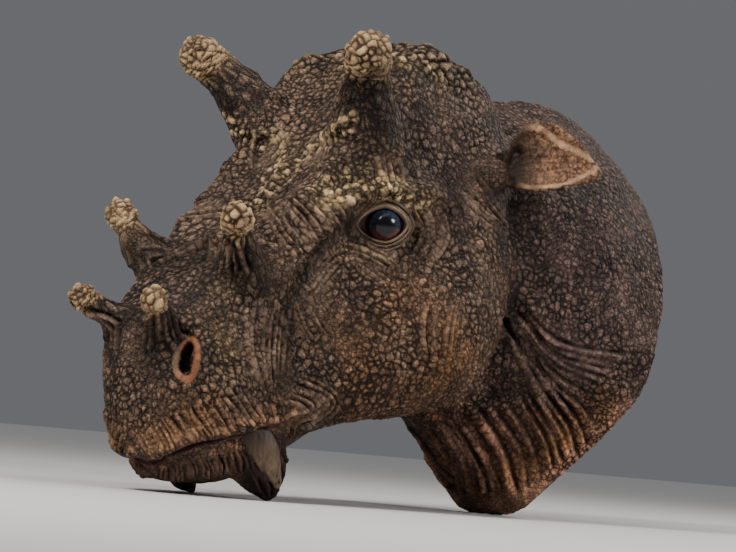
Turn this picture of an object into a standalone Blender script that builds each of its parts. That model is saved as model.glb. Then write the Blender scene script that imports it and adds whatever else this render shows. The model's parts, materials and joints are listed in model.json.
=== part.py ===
"""Life-size sculpture of a uintatherium's head and neck, after a photograph.

The design frame is in millimetres: X to the animal's left, -Y out of the snout and +Z up, with the head
held level. The finished model is in metres. It is tipped nose-down until it stands on its two jaw flanges
and on the lower end of the neck, and its origin is below the middle of its box.
"""

import math

import bmesh
import bpy
import numpy as np
from mathutils import Matrix, Vector

OBJECT_NAME = "uintatherium_head"
MM = 0.001

# Driving dimensions, in millimetres of the design frame.
NECK_CUT_TOP = (470.0, 468.0)  # Y, Z of the cut plane at the nape
NECK_CUT_FOOT = (232.0, -19.0)  # Y, Z of the cut plane under the throat
NECK_CUT_SPARE = 25.0
FRONT_FOOT = (-256.0, 47.0)  # Y, Z of the ground under the jaw flanges
REAR_FOOT = (230.0, -13.0)  # Y, Z of the ground under the neck
VOXEL = 5.0
SKIN_TRIANGLES = 7300
GAP = 0.35

EYE_CENTRE = (117.0, -87.0, 399.0)
EYE_RADIUS = 27.0
TUSK = [((64, -312, 186), 18), ((80, -300, 151), 22), ((99, -284, 112), 20), ((98, -261, 70), 6)]
TUSK_FLATNESS = 0.40
TUSK_FACING = (0.86, -0.5, 0.0)

# Half sections of the head, across its length. Each row is Y, then X, Z from the belly line to the back line.
HEAD_SECTIONS = [
    (-427, (0, 150), (16, 152), (24, 166), (28, 195), (24, 224), (16, 238), (8, 243), (0, 244)),
    (-419, (0, 120), (30, 122), (45, 144), (56, 190), (51, 236), (40, 266), (20, 275), (0, 276)),
    (-401, (0, 101), (42, 104), (62, 132), (77, 188), (74, 246), (57, 288), (27, 299), (0, 300)),
    (-370, (0, 100), (62, 106), (84, 132), (93, 190), (87, 254), (71, 311), (34, 322), (0, 323)),
    (-332, (0, 108), (74, 112), (93, 140), (101, 200), (93, 270), (80, 344), (40, 350), (0, 350)),
    (-290, (0, 116), (80, 122), (98, 150), (105, 215), (98, 292), (85, 374), (46, 376), (0, 374)),
    (-230, (0, 112), (88, 130), (106, 160), (114, 238), (107, 332), (90, 422), (48, 414), (0, 410)),
    (-170, (0, 128), (96, 140), (124, 182), (134, 258), (120, 358), (97, 474), (52, 460), (0, 454)),
    (-110, (0, 138), (104, 147), (142, 190), (154, 266), (134, 388), (108, 540), (58, 526), (0, 520)),
    (-50, (0, 138), (108, 148), (150, 195), (162, 272), (143, 404), (114, 590), (62, 586), (0, 582)),
    (10, (0, 138), (108, 153), (152, 202), (163, 288), (146, 424), (108, 610), (62, 630), (0, 634)),
    (60, (0, 150), (108, 168), (150, 218), (162, 302), (148, 444), (104, 602), (60, 626), (0, 631)),
    (112, (0, 180), (98, 202), (136, 252), (148, 332), (142, 456), (104, 580), (54, 606), (0, 612)),
    (160, (0, 230), (80, 244), (108, 286), (118, 356), (116, 456), (88, 550), (44, 576), (0, 582)),
]

# The neck: Y, Z of its back and of its throat in the median plane, then half widths from throat to back.
NECK_HEIGHTS = (0.025, 0.12, 0.25, 0.38, 0.52, 0.69, 0.87, 0.985)
NECK_SECTIONS = [
    ((90, 570), (10, 200), (20, 56, 96, 120, 122, 114, 84, 24)),
    ((195, 562), (72, 142), (26, 66, 112, 140, 150, 142, 104, 34)),
    ((285, 565), (122, 96), (32, 74, 134, 168, 178, 162, 114, 38)),
    ((352, 554), (164, 52), (42, 84, 152, 192, 200, 176, 120, 42)),
    ((415, 518), (200, 14), (54, 102, 166, 206, 208, 184, 123, 45)),
    (NECK_CUT_TOP, NECK_CUT_FOOT, (62, 112, 174, 215, 212, 188, 124, 46)),
]

# The lower jaw's front: Y, middle Z, half width and half height.
JAW_SECTIONS = [
    (-392, 98, 20, 6),
    (-385, 96, 42, 12),
    (-364, 93, 58, 19),
    (-322, 93, 66, 24),
    (-280, 104, 74, 30),
    (-225, 130, 88, 34),
    (-170, 165, 92, 40),
]

# Horns of the left side: points from root to tip with their radii.
PARIETAL_HORN = [((84, -84, 500), 58), ((110, -116, 556), 40), ((134, -134, 592), 29), ((160, -158, 622), 26)]
CHEEK_HORN = [((72, -300, 336), 40), ((90, -320, 368), 26), ((103, -336, 396), 18), ((112, -345, 415), 18)]
NASAL_HORN = [((26, -372, 252), 38), ((40, -400, 278), 24), ((55, -426, 297), 16), ((69, -445, 311), 16)]
FLANGE = [((82, -292, 140), 44), ((83, -284, 108), 42), ((80, -268, 78), 33), ((76, -257, 60), 19)]
FLANGE_FLATNESS = 0.44

EAR_BASE = (150, 88, 468)
EAR_TIP = (255, 184, 468)
EAR_FACING = (0.68, -0.70, 0.22)
EAR_HALF_WIDTHS = (13, 22, 38, 45, 42, 32, 22, 9)
EAR_BOW = 19.0
EAR_CUP = 26.0
EAR_THICKNESS = 12.0
EAR_RIM_SHARE = 0.8

# Relief strokes of the left side: points, half width, height (a groove is below zero).
RELIEF = [
    ("brow", ((110, -192, 404), (120, -140, 432), (130, -75, 447), (136, -20, 438), (138, 10, 428)), 15, 13),
    ("orbit", ((134, -104, 401), (138, -82, 400)), 31, -15),
    ("under_eye_hollow", ((114, -160, 372), (106, -215, 338), (102, -255, 305), (102, -278, 256)), 15, -9),
    ("eye_bag", ((124, -127, 372), (132, -106, 363), (138, -79, 361), (141, -52, 374)), 8, 6),
    ("cheek_groove", ((102, -284, 250), (101, -276, 205), (100, -264, 160)), 12, -5),
    ("face_ridge", ((84, -292, 384), (92, -240, 412), (98, -197, 444), (104, -165, 478)), 12, 5),
    ("temple_hollow", ((128, -50, 500), (130, 10, 500)), 42, -9),
    ("cheek_bulge", ((152, -40, 262), (150, 10, 290)), 70, 7),
    ("jaw_rear_edge", ((150, 112, 340), (148, 112, 270), (138, 84, 205)), 22, 6),
    ("behind_jaw", ((132, 150, 400), (128, 158, 320), (118, 140, 230), (96, 96, 168)), 26, -16),
    ("mouth", ((0, -404, 104), (52, -392, 104), (78, -362, 116), (92, -318, 130), (98, -262, 142)), 7, -10),
    ("upper_lip", ((0, -414, 116), (52, -400, 118), (84, -362, 130), (100, -316, 146)), 13, 4),
    ("lip_over_tusk", ((100, -312, 147), (104, -284, 152), (103, -256, 164)), 11, 6),
    ("horn_root", ((122, -104, 592), (106, -66, 606), (92, -24, 622)), 15, 9),
    ("nostril_rim", ((62, -406, 266), (57, -409, 236), (64, -402, 208), (80, -386, 214), (84, -380, 248)), 9, 5),
    ("nostril", ((74, -392, 258), (70, -396, 238), (69, -397, 220)), 9, -24),
    ("mouth_corner_fold", ((106, -246, 200), (104, -238, 165), (98, -224, 140)), 10, 3),
    ("neck_fold_1", ((140, 150, 300), (176, 220, 215), (205, 290, 160)), 13, 9),
    ("neck_fold_2", ((120, 130, 205), (148, 190, 140), (170, 250, 90)), 14, 10),
    ("neck_fold_3", ((82, 100, 150), (98, 150, 95), (116, 205, 45)), 13, 10),
    ("neck_hollow_1", ((130, 145, 250), (162, 210, 175), (190, 280, 120)), 12, -9),
    ("neck_hollow_2", ((104, 115, 175), (128, 170, 115), (146, 225, 66)), 12, -9),
    ("dewlap", ((30, 80, 140), (40, 130, 84), (52, 190, 26)), 14, 9),
    ("nape_fold", ((60, 210, 572), (118, 190, 526), (140, 180, 470)), 12, -8),
]

# Round lumps of the left side: place, radius, height.
LUMPS = [
    ("brow_boss_1", (116, -165, 424), 13, 8),
    ("brow_boss_2", (124, -134, 440), 13, 8),
    ("brow_boss_3", (131, -96, 452), 12, 6),
    ("brow_boss_4", (137, -34, 443), 13, 8),
    ("ridge_boss_1", (90, -262, 402), 12, 6),
    ("ridge_boss_2", (96, -214, 434), 12, 6),
    ("ridge_boss_3", (102, -172, 474), 13, 6),
    ("crest_boss_1", (98, 40, 616), 15, 7),
    ("crest_boss_2", (74, 34, 630), 15, 6),
    ("crest_boss_3", (46, 24, 638), 15, 7),
    ("crest_boss_4", (14, 14, 640), 15, 6),
    ("crest_boss_5", (106, 84, 598), 15, 7),
    ("crest_boss_6", (106, 120, 578), 14, 6),
]

HORN_KNOBS = [
    ("parietal", (160, -158, 622), 26, 9, 7.0),
    ("cheek", (112, -345, 415), 18, 7, 5.0),
    ("nasal", (69, -445, 311), 16, 6, 4.5),
]


def smooth_rows(rows, count):
    """The table's rows joined by a smooth curve through each of them, resampled to count rows."""
    table = np.array(rows, float)
    at = np.linspace(0, len(table) - 1, count)
    low = np.minimum(at.astype(int), len(table) - 2)
    t = (at - low).reshape(-1, *[1] * (table.ndim - 1))
    before = table[np.maximum(low - 1, 0)]
    start, end = table[low], table[low + 1]
    after = table[np.minimum(low + 2, len(table) - 1)]
    slope_in, slope_out = (end - before) / 2, (after - start) / 2
    return (
        (2 * t**3 - 3 * t**2 + 1) * start
        + (t**3 - 2 * t**2 + t) * slope_in
        + (-2 * t**3 + 3 * t**2) * end
        + (t**3 - t**2) * slope_out
    )


def new_object(name, mesh, collection):
    obj = bpy.data.objects.new(name, mesh)
    collection.objects.link(obj)
    return obj


def add_loft(bm, rings):
    """A closed body through rings of equal point counts, with a flat cap at each end."""
    columns = len(rings[0])
    loops = [[bm.verts.new(point) for point in ring] for ring in rings]
    for first, second in zip(loops, loops[1:]):
        for i in range(columns):
            j = (i + 1) % columns
            bm.faces.new((first[i], first[j], second[j], second[i]))
    bm.faces.new(loops[0][::-1])
    bm.faces.new(loops[-1])


def mirrored_ring(half):
    """A whole ring from the left half's points, which run from the belly line to the back line."""
    right = [(-x, y, z) for x, y, z in half[-2:0:-1]]
    return [tuple(point) for point in half] + right


def add_head(bm):
    rows = [[(y, x, z) for x, z in points] for y, *points in HEAD_SECTIONS]
    rings = []
    for row in smooth_rows(rows, 60):
        half = smooth_rows(row, 29)
        rings.append(mirrored_ring([(x, y, z) for y, x, z in half]))
    add_loft(bm, rings)


def add_neck(bm):
    rows = []
    for (back_y, back_z), (throat_y, throat_z), widths in NECK_SECTIONS:
        half = [(0, throat_y, throat_z)]
        for height, width in zip(NECK_HEIGHTS, widths):
            y = throat_y + (back_y - throat_y) * height
            z = throat_z + (back_z - throat_z) * height
            half.append((width, y, z))
        half.append((0, back_y, back_z))
        rows.append(half)
    last = np.array(rows[-1], float)
    out = cut_normal()
    rows.append(last + np.array(out) * NECK_CUT_SPARE)
    rings = [mirrored_ring(list(smooth_rows(row, 33))) for row in smooth_rows(rows, 32)]
    add_loft(bm, rings)


def cut_normal():
    """The outward normal of the plane where the neck ends."""
    dy = NECK_CUT_TOP[0] - NECK_CUT_FOOT[0]
    dz = NECK_CUT_TOP[1] - NECK_CUT_FOOT[1]
    length = math.hypot(dy, dz)
    return Vector((0.0, dz / length, -dy / length))


def add_lower_jaw(bm):
    rings = []
    for y, middle, half_width, half_height in smooth_rows(JAW_SECTIONS, 24):
        ring = []
        for step in range(24):
            angle = 2 * math.pi * step / 24
            ring.append((half_width * math.cos(angle), y, middle + half_height * math.sin(angle)))
        rings.append(ring)
    add_loft(bm, rings)


def add_limb(bm, points, side, flatness=1.0, facing=(1.0, 0.0, 0.0), steps=20, sides=20):
    """A tapering body along points with radii, its thickness along facing cut by flatness, with a round end."""
    table = smooth_rows([(*place, radius) for place, radius in points], steps)
    path = [Vector((side * row[0], row[1], row[2])) for row in table]
    radii = [float(row[3]) for row in table]
    heading = (path[-1] - path[-2]).normalized()
    end, radius = path[-1], radii[-1]
    for angle in (math.radians(25), math.radians(50), math.radians(72)):
        path.append(end + heading * radius * math.sin(angle))
        radii.append(radius * math.cos(angle))
    thin = Vector((side * facing[0], facing[1], facing[2]))
    rings = []
    for i, (centre, radius) in enumerate(zip(path, radii)):
        ahead = path[min(i + 1, len(path) - 1)] - path[max(i - 1, 0)]
        broad = ahead.cross(thin).normalized()
        narrow = broad.cross(ahead).normalized() * flatness
        turn = [2 * math.pi * step / sides for step in range(sides)]
        rings.append([centre + radius * (math.cos(a) * narrow + math.sin(a) * broad) for a in turn])
    add_loft(bm, rings)


def add_ear(bm, side):
    """A leaf-shaped cup: an inner and an outer sheet joined along the rim."""
    base, tip = Vector(EAR_BASE), Vector(EAR_TIP)
    facing = Vector(EAR_FACING).normalized()
    along = (tip - base).normalized()
    up = along.cross(facing)
    up = up if up.z > 0 else -up
    facing = up.cross(along) if up.cross(along).dot(facing) > 0 else along.cross(up)
    widths = [float(row[0]) for row in smooth_rows([(w,) for w in EAR_HALF_WIDTHS], 15)]
    length = (tip - base).length
    rings = []
    for i, half_width in enumerate(widths):
        t = i / (len(widths) - 1)
        centre = base + along * (length * t - 14 * (1 - t)) + up * EAR_BOW * math.sin(math.pi * t)
        ring = []
        for k in range(13):
            angle = math.pi * k / 12
            depth = -EAR_CUP * (1 - 0.55 * t) * math.sin(angle)
            ring.append(centre + up * half_width * math.cos(angle) + facing * depth)
        for k in range(13):
            angle = math.pi * (12 - k) / 12
            depth = -EAR_CUP * (1 - 0.55 * t) * math.sin(angle)
            shell = EAR_THICKNESS * (EAR_RIM_SHARE + (1 - EAR_RIM_SHARE) * math.sin(angle))
            ring.append(centre + up * half_width * math.cos(angle) * 1.02 + facing * (depth - shell))
        rings.append([Vector((side * p.x, p.y, p.z)) for p in ring])
    add_loft(bm, rings)


def add_ear_root(bm, side):
    points = [((108, 62, 456), 30), ((132, 76, 464), 24), ((152, 90, 468), 17)]
    add_limb(bm, points, side)


def clay(collection):
    """All the masses in one mesh, made one skin by a voxel remesh, as a plain mesh object."""
    bm = bmesh.new()
    add_head(bm)
    add_neck(bm)
    add_lower_jaw(bm)
    for side in (1, -1):
        for horn in (PARIETAL_HORN, CHEEK_HORN, NASAL_HORN):
            add_limb(bm, horn, side)
        add_limb(bm, FLANGE, side, FLANGE_FLATNESS, TUSK_FACING)
        add_ear_root(bm, side)
        add_ear(bm, side)
    mesh = bpy.data.meshes.new("masses")
    # Each mass is turned outward on its own, so that the remesh adds them all.
    bmesh.ops.recalc_face_normals(bm, faces=bm.faces)
    bm.to_mesh(mesh)
    bm.free()
    masses = new_object("masses", mesh, collection)
    remesh = masses.modifiers.new("one skin", "REMESH")
    remesh.mode = "VOXEL"
    remesh.voxel_size = VOXEL
    remesh.use_smooth_shade = True
    return applied(masses, "skin_clay", collection)


def applied(obj, name, collection):
    """A new mesh object with obj's modifiers applied. The old one is removed."""
    bpy.context.view_layer.update()
    graph = bpy.context.evaluated_depsgraph_get()
    mesh = bpy.data.meshes.new_from_object(obj.evaluated_get(graph))
    bpy.data.objects.remove(obj)
    return new_object(name, mesh, collection)


def places_of(mesh):
    flat = np.empty(len(mesh.vertices) * 3, np.float32)
    mesh.vertices.foreach_get("co", flat)
    return flat.reshape(-1, 3).astype(float)


def put_places(mesh, places):
    mesh.vertices.foreach_set("co", np.asarray(places, np.float32).reshape(-1))
    mesh.update()


def normals_of(mesh):
    flat = np.empty(len(mesh.vertices) * 3, np.float32)
    mesh.vertices.foreach_get("normal", flat)
    return flat.reshape(-1, 3).astype(float)


def edges_of(mesh):
    flat = np.empty(len(mesh.edges) * 2, np.int32)
    mesh.edges.foreach_get("vertices", flat)
    return flat.reshape(-1, 2)


def relax(mesh, rounds, hold=None):
    """Moves each point halfway to the mean of its neighbours, less where hold is above 0."""
    places, edges = places_of(mesh), edges_of(mesh)
    count = np.bincount(edges.ravel(), minlength=len(places)).reshape(-1, 1)
    share = 0.5 if hold is None else 0.5 * (1 - hold).reshape(-1, 1)
    for _ in range(rounds):
        total = np.zeros_like(places)
        for axis in range(3):
            total[:, axis] += np.bincount(edges[:, 0], places[edges[:, 1], axis], len(places))
            total[:, axis] += np.bincount(edges[:, 1], places[edges[:, 0], axis], len(places))
        places += share * (total / np.maximum(count, 1) - places)
    put_places(mesh, places)


def distance_to_line(places, points):
    nearest = np.full(len(places), np.inf)
    for start, end in zip(points, points[1:]):
        start, end = np.array(start, float), np.array(end, float)
        step = end - start
        t = np.clip((places - start) @ step / (step @ step), 0, 1)
        nearest = np.minimum(nearest, np.linalg.norm(places - start - t[:, None] * step, axis=1))
    return nearest


def ear_hold(places):
    """1 on the thin ears, so that smoothing leaves them, and 0 on the rest."""
    folded = np.abs(places[:, 0])
    base, tip = np.array(EAR_BASE, float), np.array(EAR_TIP, float)
    near = distance_to_line(np.column_stack([folded, places[:, 1], places[:, 2]]), [base, tip])
    return np.where(folded > 150, np.clip(1.6 - near / 60, 0, 1), 0)


def press_relief(mesh):
    places, normals = places_of(mesh), normals_of(mesh)
    folded = np.column_stack([np.abs(places[:, 0]), places[:, 1], places[:, 2]])
    height = np.zeros(len(places))
    for _, points, half_width, rise in RELIEF:
        height += rise * np.exp(-((distance_to_line(folded, points) / half_width) ** 2))
    for _, centre, radius, rise in LUMPS:
        away = np.linalg.norm(folded - np.array(centre, float), axis=1)
        height += rise * np.exp(-((away / radius) ** 2))
    height *= 1 - ear_hold(places)
    put_places(mesh, places + normals * height[:, None])


def knob_centres(centre, radius, count):
    """Points spread evenly over a sphere, by the golden angle."""
    golden = math.pi * (3 - math.sqrt(5))
    for i in range(count):
        z = 1 - 2 * (i + 0.5) / count
        ring = math.sqrt(1 - z * z)
        yield np.array(centre, float) + radius * np.array(
            (ring * math.cos(golden * i), ring * math.sin(golden * i), z)
        )


def press_knobs(mesh):
    """Round knobs on the tips of the horns."""
    places = places_of(mesh)
    folded = np.column_stack([np.abs(places[:, 0]), places[:, 1], places[:, 2]])
    for _, centre, radius, count, rise in HORN_KNOBS:
        away = folded - np.array(centre, float)
        reach = np.linalg.norm(away, axis=1)
        near = reach < radius * 1.7
        nearest = np.full(len(places), np.inf)
        for knob in knob_centres(centre, radius, count * 2):
            nearest = np.minimum(nearest, np.linalg.norm(folded - knob, axis=1))
        swell = rise * np.exp(-((nearest / (radius * 0.42)) ** 2)) * near
        direction = away / np.maximum(reach, 1)[:, None]
        direction[:, 0] *= np.where(places[:, 0] < 0, -1, 1)
        places += direction * swell[:, None]
    put_places(mesh, places)


def decimated(obj, triangles, collection):
    obj.data.calc_loop_triangles()
    fewer = obj.modifiers.new("fewer faces", "DECIMATE")
    fewer.ratio = triangles / len(obj.data.loop_triangles)
    fewer.use_collapse_triangulate = True
    return applied(obj, "skin_facets", collection)


def cut_flat(obj, point, normal):
    """Removes what lies beyond the plane and closes the opening with a flat face."""
    bm = bmesh.new()
    bm.from_mesh(obj.data)
    geometry = bm.verts[:] + bm.edges[:] + bm.faces[:]
    made = bmesh.ops.bisect_plane(
        bm, geom=geometry, dist=1e-5, plane_co=point, plane_no=normal, clear_outer=True
    )
    rim = [item for item in made["geom_cut"] if isinstance(item, bmesh.types.BMEdge)]
    bmesh.ops.triangle_fill(bm, edges=rim, use_beauty=True, normal=normal)
    bmesh.ops.recalc_face_normals(bm, faces=bm.faces)
    bm.to_mesh(obj.data)
    bm.free()


def ground():
    """A point of the ground plane that the head stands on, its downward normal, and the head's pitch."""
    rise = FRONT_FOOT[1] - REAR_FOOT[1]
    pitch = math.atan2(rise, REAR_FOOT[0] - FRONT_FOOT[0])
    return (0.0, *REAR_FOOT), Vector((0.0, -math.sin(pitch), -math.cos(pitch))), pitch


def blade(name, side, grow, collection):
    """One tusk, or with grow the hollow that it sits in: a flattened, curved, tapering tooth."""
    points = [(place, half_width + grow) for place, half_width in TUSK]
    thickness = TUSK_FLATNESS * (1 + 1.5 * grow / TUSK[0][1])
    bm = bmesh.new()
    add_limb(bm, points, side, thickness, TUSK_FACING, steps=10, sides=12)
    bmesh.ops.recalc_face_normals(bm, faces=bm.faces)
    mesh = bpy.data.meshes.new(name)
    bm.to_mesh(mesh)
    bm.free()
    return new_object(name, mesh, collection)


def eyeball(name, side, grow, collection):
    bm = bmesh.new()
    bmesh.ops.create_uvsphere(bm, u_segments=16, v_segments=10, radius=EYE_RADIUS + grow)
    place = Matrix.Translation((side * EYE_CENTRE[0], EYE_CENTRE[1], EYE_CENTRE[2]))
    bmesh.ops.transform(bm, matrix=place @ Matrix.Rotation(math.pi / 2, 4, "Y"), verts=bm.verts)
    mesh = bpy.data.meshes.new(name)
    bm.to_mesh(mesh)
    bm.free()
    return new_object(name, mesh, collection)


def material(name, colour, roughness):
    made = bpy.data.materials.new(name)
    made.use_nodes = True
    shader = made.node_tree.nodes["Principled BSDF"]
    shader.inputs["Base Color"].default_value = (*colour, 1.0)
    shader.inputs["Roughness"].default_value = roughness
    shader.inputs["Metallic"].default_value = 0.0
    return made


def make_skin(parts, cutters):
    skin = clay(parts)
    relax(skin.data, 4, ear_hold(places_of(skin.data)))
    press_relief(skin.data)
    relax(skin.data, 1, ear_hold(places_of(skin.data)))
    press_knobs(skin.data)
    skin = decimated(skin, SKIN_TRIANGLES, parts)
    cut_flat(skin, (0.0, *NECK_CUT_TOP), cut_normal())
    foot, down, _ = ground()
    cut_flat(skin, foot, down)
    skin.name = "head_and_neck"
    for side, word in ((1, "left"), (-1, "right")):
        for hollow in (
            eyeball(word + "_eye_socket", side, GAP, cutters),
            blade(word + "_tusk_socket", side, GAP, cutters),
        ):
            hollow.hide_render = True
            hollow.display_type = "WIRE"
            cut = skin.modifiers.new(hollow.name, "BOOLEAN")
            cut.operation = "DIFFERENCE"
            cut.solver = "EXACT"
            cut.object = hollow
    return skin


def stand(objects):
    """Tips every object to its stance, moves the model over the origin and scales it to metres."""
    tip = Matrix.Rotation(ground()[2], 4, "X")
    for obj in objects:
        obj.data.transform(tip)
    skin = places_of(bpy.data.objects["head_and_neck"].data)
    low, high = skin.min(axis=0), skin.max(axis=0)
    middle = (low + high) / 2
    move = Matrix.Translation((-middle[0], -middle[1], -low[2]))
    size = Matrix.Scale(MM, 4)
    for obj in objects:
        obj.data.transform(size @ move)
    return size @ move @ tip


def main():
    for obj in list(bpy.data.objects):
        bpy.data.objects.remove(obj)
    parts = bpy.data.collections.new(OBJECT_NAME)
    cutters = bpy.data.collections.new("cutters")
    for collection in (parts, cutters):
        bpy.context.scene.collection.children.link(collection)

    skin = make_skin(parts, cutters)
    skin.data.materials.append(material("painted hide", (0.075, 0.052, 0.038), 0.62))
    glass = material("dark glass", (0.02, 0.022, 0.026), 0.08)
    tooth = material("painted tooth", (0.22, 0.17, 0.13), 0.42)
    for side, word in ((1, "left"), (-1, "right")):
        eyeball(word + "_eye", side, 0.0, parts).data.materials.append(glass)
        blade(word + "_tusk", side, 0.0, parts).data.materials.append(tooth)
    return stand(list(parts.objects) + list(cutters.objects))


if __name__ == "__main__":
    main()
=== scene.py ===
"""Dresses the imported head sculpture: one finely scaled hide, lids, eyes and tusks, on a pale studio floor.

The shapes are worked out in millimetres in the sculpture's own level frame: X is the animal's left, -Y is
the way it looks and Z is up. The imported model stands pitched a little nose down, so every finished piece is
turned by ROW_PITCH and moved by ROW_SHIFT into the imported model's frame, in metres.
"""
import json
import math

import bmesh
import bpy
import numpy as np
from mathutils import Matrix, Vector
from mathutils.bvhtree import BVHTree
from mathutils.kdtree import KDTree

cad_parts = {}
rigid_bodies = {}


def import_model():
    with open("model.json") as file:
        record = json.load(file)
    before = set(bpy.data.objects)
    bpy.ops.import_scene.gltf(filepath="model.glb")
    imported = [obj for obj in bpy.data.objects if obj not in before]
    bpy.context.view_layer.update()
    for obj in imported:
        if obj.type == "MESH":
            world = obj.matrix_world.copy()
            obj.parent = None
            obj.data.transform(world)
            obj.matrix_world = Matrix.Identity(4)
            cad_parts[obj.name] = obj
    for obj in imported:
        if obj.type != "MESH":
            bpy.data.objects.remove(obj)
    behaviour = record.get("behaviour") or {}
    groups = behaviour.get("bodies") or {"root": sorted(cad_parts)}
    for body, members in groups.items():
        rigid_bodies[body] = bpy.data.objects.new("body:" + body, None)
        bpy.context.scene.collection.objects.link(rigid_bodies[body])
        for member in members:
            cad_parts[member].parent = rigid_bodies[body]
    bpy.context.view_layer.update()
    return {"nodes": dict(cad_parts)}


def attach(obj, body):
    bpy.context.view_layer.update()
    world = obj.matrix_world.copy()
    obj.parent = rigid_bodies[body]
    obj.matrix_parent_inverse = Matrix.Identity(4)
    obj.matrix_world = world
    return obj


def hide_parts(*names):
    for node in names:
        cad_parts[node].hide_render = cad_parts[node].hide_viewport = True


ROW_PITCH = math.radians(7.037936)
ROW_SHIFT = (-0.0001410, 0.0436149, -0.0152790)
MM = 0.001

# The camera, in the level frame.
CAMERA_AZIMUTH = math.radians(45.0)
CAMERA_ELEVATION = math.radians(2.2)
CAMERA_DISTANCE = 4500.0
CAMERA_TARGET = (0.0, 0.0, 327.0)
MM_PER_PIXEL = 1.35
PICTURE_WIDTH = 736
PICTURE_CENTRE = (368.0, 276.0)
SENSOR_WIDTH = 36.0

# Size of the faces of the hide, before its last split, and of the tusks, in millimetres.
VOXEL = 4.3
TUSK_VOXEL = 2.0
FACET_SMOOTHING = 26
SEED = 20261130
FOLD_GAIN = 2.3
SPIKE = 2.6
# Strokes with at least this half width go into the coarse hide.
BROAD_STROKE = 4.0
# How unevenly the scales divide the hide, and the share of a scale's height that its edge lies under the
# hide's own surface.
SWELL = 16.0
SINK = 0.62
NEAREST_SCALES = 6

EYE_CENTRE = np.array((117.0, -87.0, 399.0))
EYE_RADIUS = 27.0
EYE_AZIMUTH = math.radians(47.0)
EYE_HALF_WIDTH_FRONT = 33.0
EYE_HALF_WIDTH_REAR = 27.0
EYE_HALF_HEIGHT = 21.5
EYE_LOW_SHARE = 0.90
EYE_CORNER = 1.55
EYE_CORNER_FLOOR = 9.0
LID_WIDTH = 15.0
LID_REACH = 30.0
# How far the hide lies under the lids, and the lids' outer rim under the hide.
LID_UNDER = 1.6

# The left horns, from the top one down to the nose: (tip, root, radius).
HORNS = [
    (np.array((160.0, -158.0, 622.0)), np.array((108.0, -95.0, 530.0)), 27.0),
    (np.array((112.0, -345.0, 415.0)), np.array((74.0, -300.0, 340.0)), 25.0),
    (np.array((69.0, -445.0, 311.0)), np.array((42.0, -405.0, 265.0)), 25.0),
]
# How short each stalk's scales are measured, which draws them out along it.
STALK_STRETCH = (0.50, 0.40, 0.40)
EAR_BASE = np.array((150.0, 88.0, 468.0))
EAR_TIP = np.array((255.0, 184.0, 468.0))
EAR_RAISE = 9.0
TUSK_AXIS = np.array((0.2, 0.42, -0.88))
# What a point on the animal's left side is multiplied by.
SIDES = {"left": np.array((1.0, 1.0, 1.0)), "right": np.array((-1.0, 1.0, 1.0))}
# The neck's cut, by two points of its line in the middle plane: how far back, and how high.
CUT_TOP = np.array((470.0, 468.0))
CUT_FOOT = np.array((232.0, -19.0))

# The stage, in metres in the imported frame.
FLOOR_RADIUS = 14.0
FLOOR_CORNERS = 64
FLOOR_COLOUR = (0.50, 0.49, 0.48, 1.0)
STUDIO_COLOUR = (0.60, 0.62, 0.66, 1.0)
STUDIO_STRENGTH = 0.24
SUN_ENERGY = 0.9
SUN_SPREAD = math.radians(60.0)
SUN_TILT = math.radians(20.0)
LIT_PLACE = (0.0, 0.0, 0.3)
# Disk lamps: (name, place, size, energy, colour).
SOFT_LIGHTS = [
    ("key_light", (0.3, -2.1, 2.1), 0.7, 92.0, (1.0, 0.95, 0.88)),
    ("side_light", (2.5, 0.3, 1.5), 0.8, 44.0, (1.0, 0.97, 0.95)),
    ("rim_light", (0.6, 2.2, 2.0), 0.9, 45.0, (1.0, 0.96, 0.9)),
]

# Colours of the dry hide, as sRGB, and a factor on all of them.
OVERALL = 0.89
TINT_SHARE = 0.55
# Painted shade: the next three colours darken the cracks between the scales; the first also darkens the ear's
# hollow and the mouth's slit.
CRACK_SHADE = (16, 9, 6)
WARM_CRACK_SHADE = (52, 33, 22)
PALE_CRACK_SHADE = (36, 22, 14)
HIDE = (122, 99, 82)
WARM = (136, 98, 62)
NECK = (104, 82, 72)
BONE = (154, 129, 97)
SAND = (162, 138, 104)
LIP = (166, 126, 94)
PINK = (76, 50, 46)
MOUTH_PINK = (122, 72, 62)
OLIVE = (140, 118, 76)
ORANGE = (134, 98, 68)
MAUVE = (104, 84, 80)
CUT_FACE = (66, 52, 44)
LID = (98, 82, 68)
# Painted shade in the lids' creases (first) and along the opening where the lids meet the eyeball (second).
LID_CREASE_SHADE = (40, 27, 21)
LID_MARGIN_SHADE = (26, 18, 16)
EYE_CORNER_PINK = (78, 60, 54)
# Painted reflection: a blue sky reflection on the upper iris.
EYE_SKY_REFLECTION = (38, 47, 62)
IRIS = (70, 36, 28)
LIMBUS = (10, 9, 12)
EYE_WHITE = (46, 34, 30)
PUPIL = (5, 7, 12)
EAR_INSIDE = (138, 102, 76)
# Painted highlight on the ear's rim and upper edge.
EAR_RIM_HIGHLIGHT = (158, 126, 98)
STALK = (70, 56, 46)
RIM_ORANGE = (142, 90, 64)
RIM_TAN = (112, 90, 72)
FLANGE_DARK = (50, 36, 32)
THROAT = (112, 80, 64)
TUSK_ROOT = (46, 36, 32)
TUSK_BLADE = (102, 84, 68)

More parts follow.
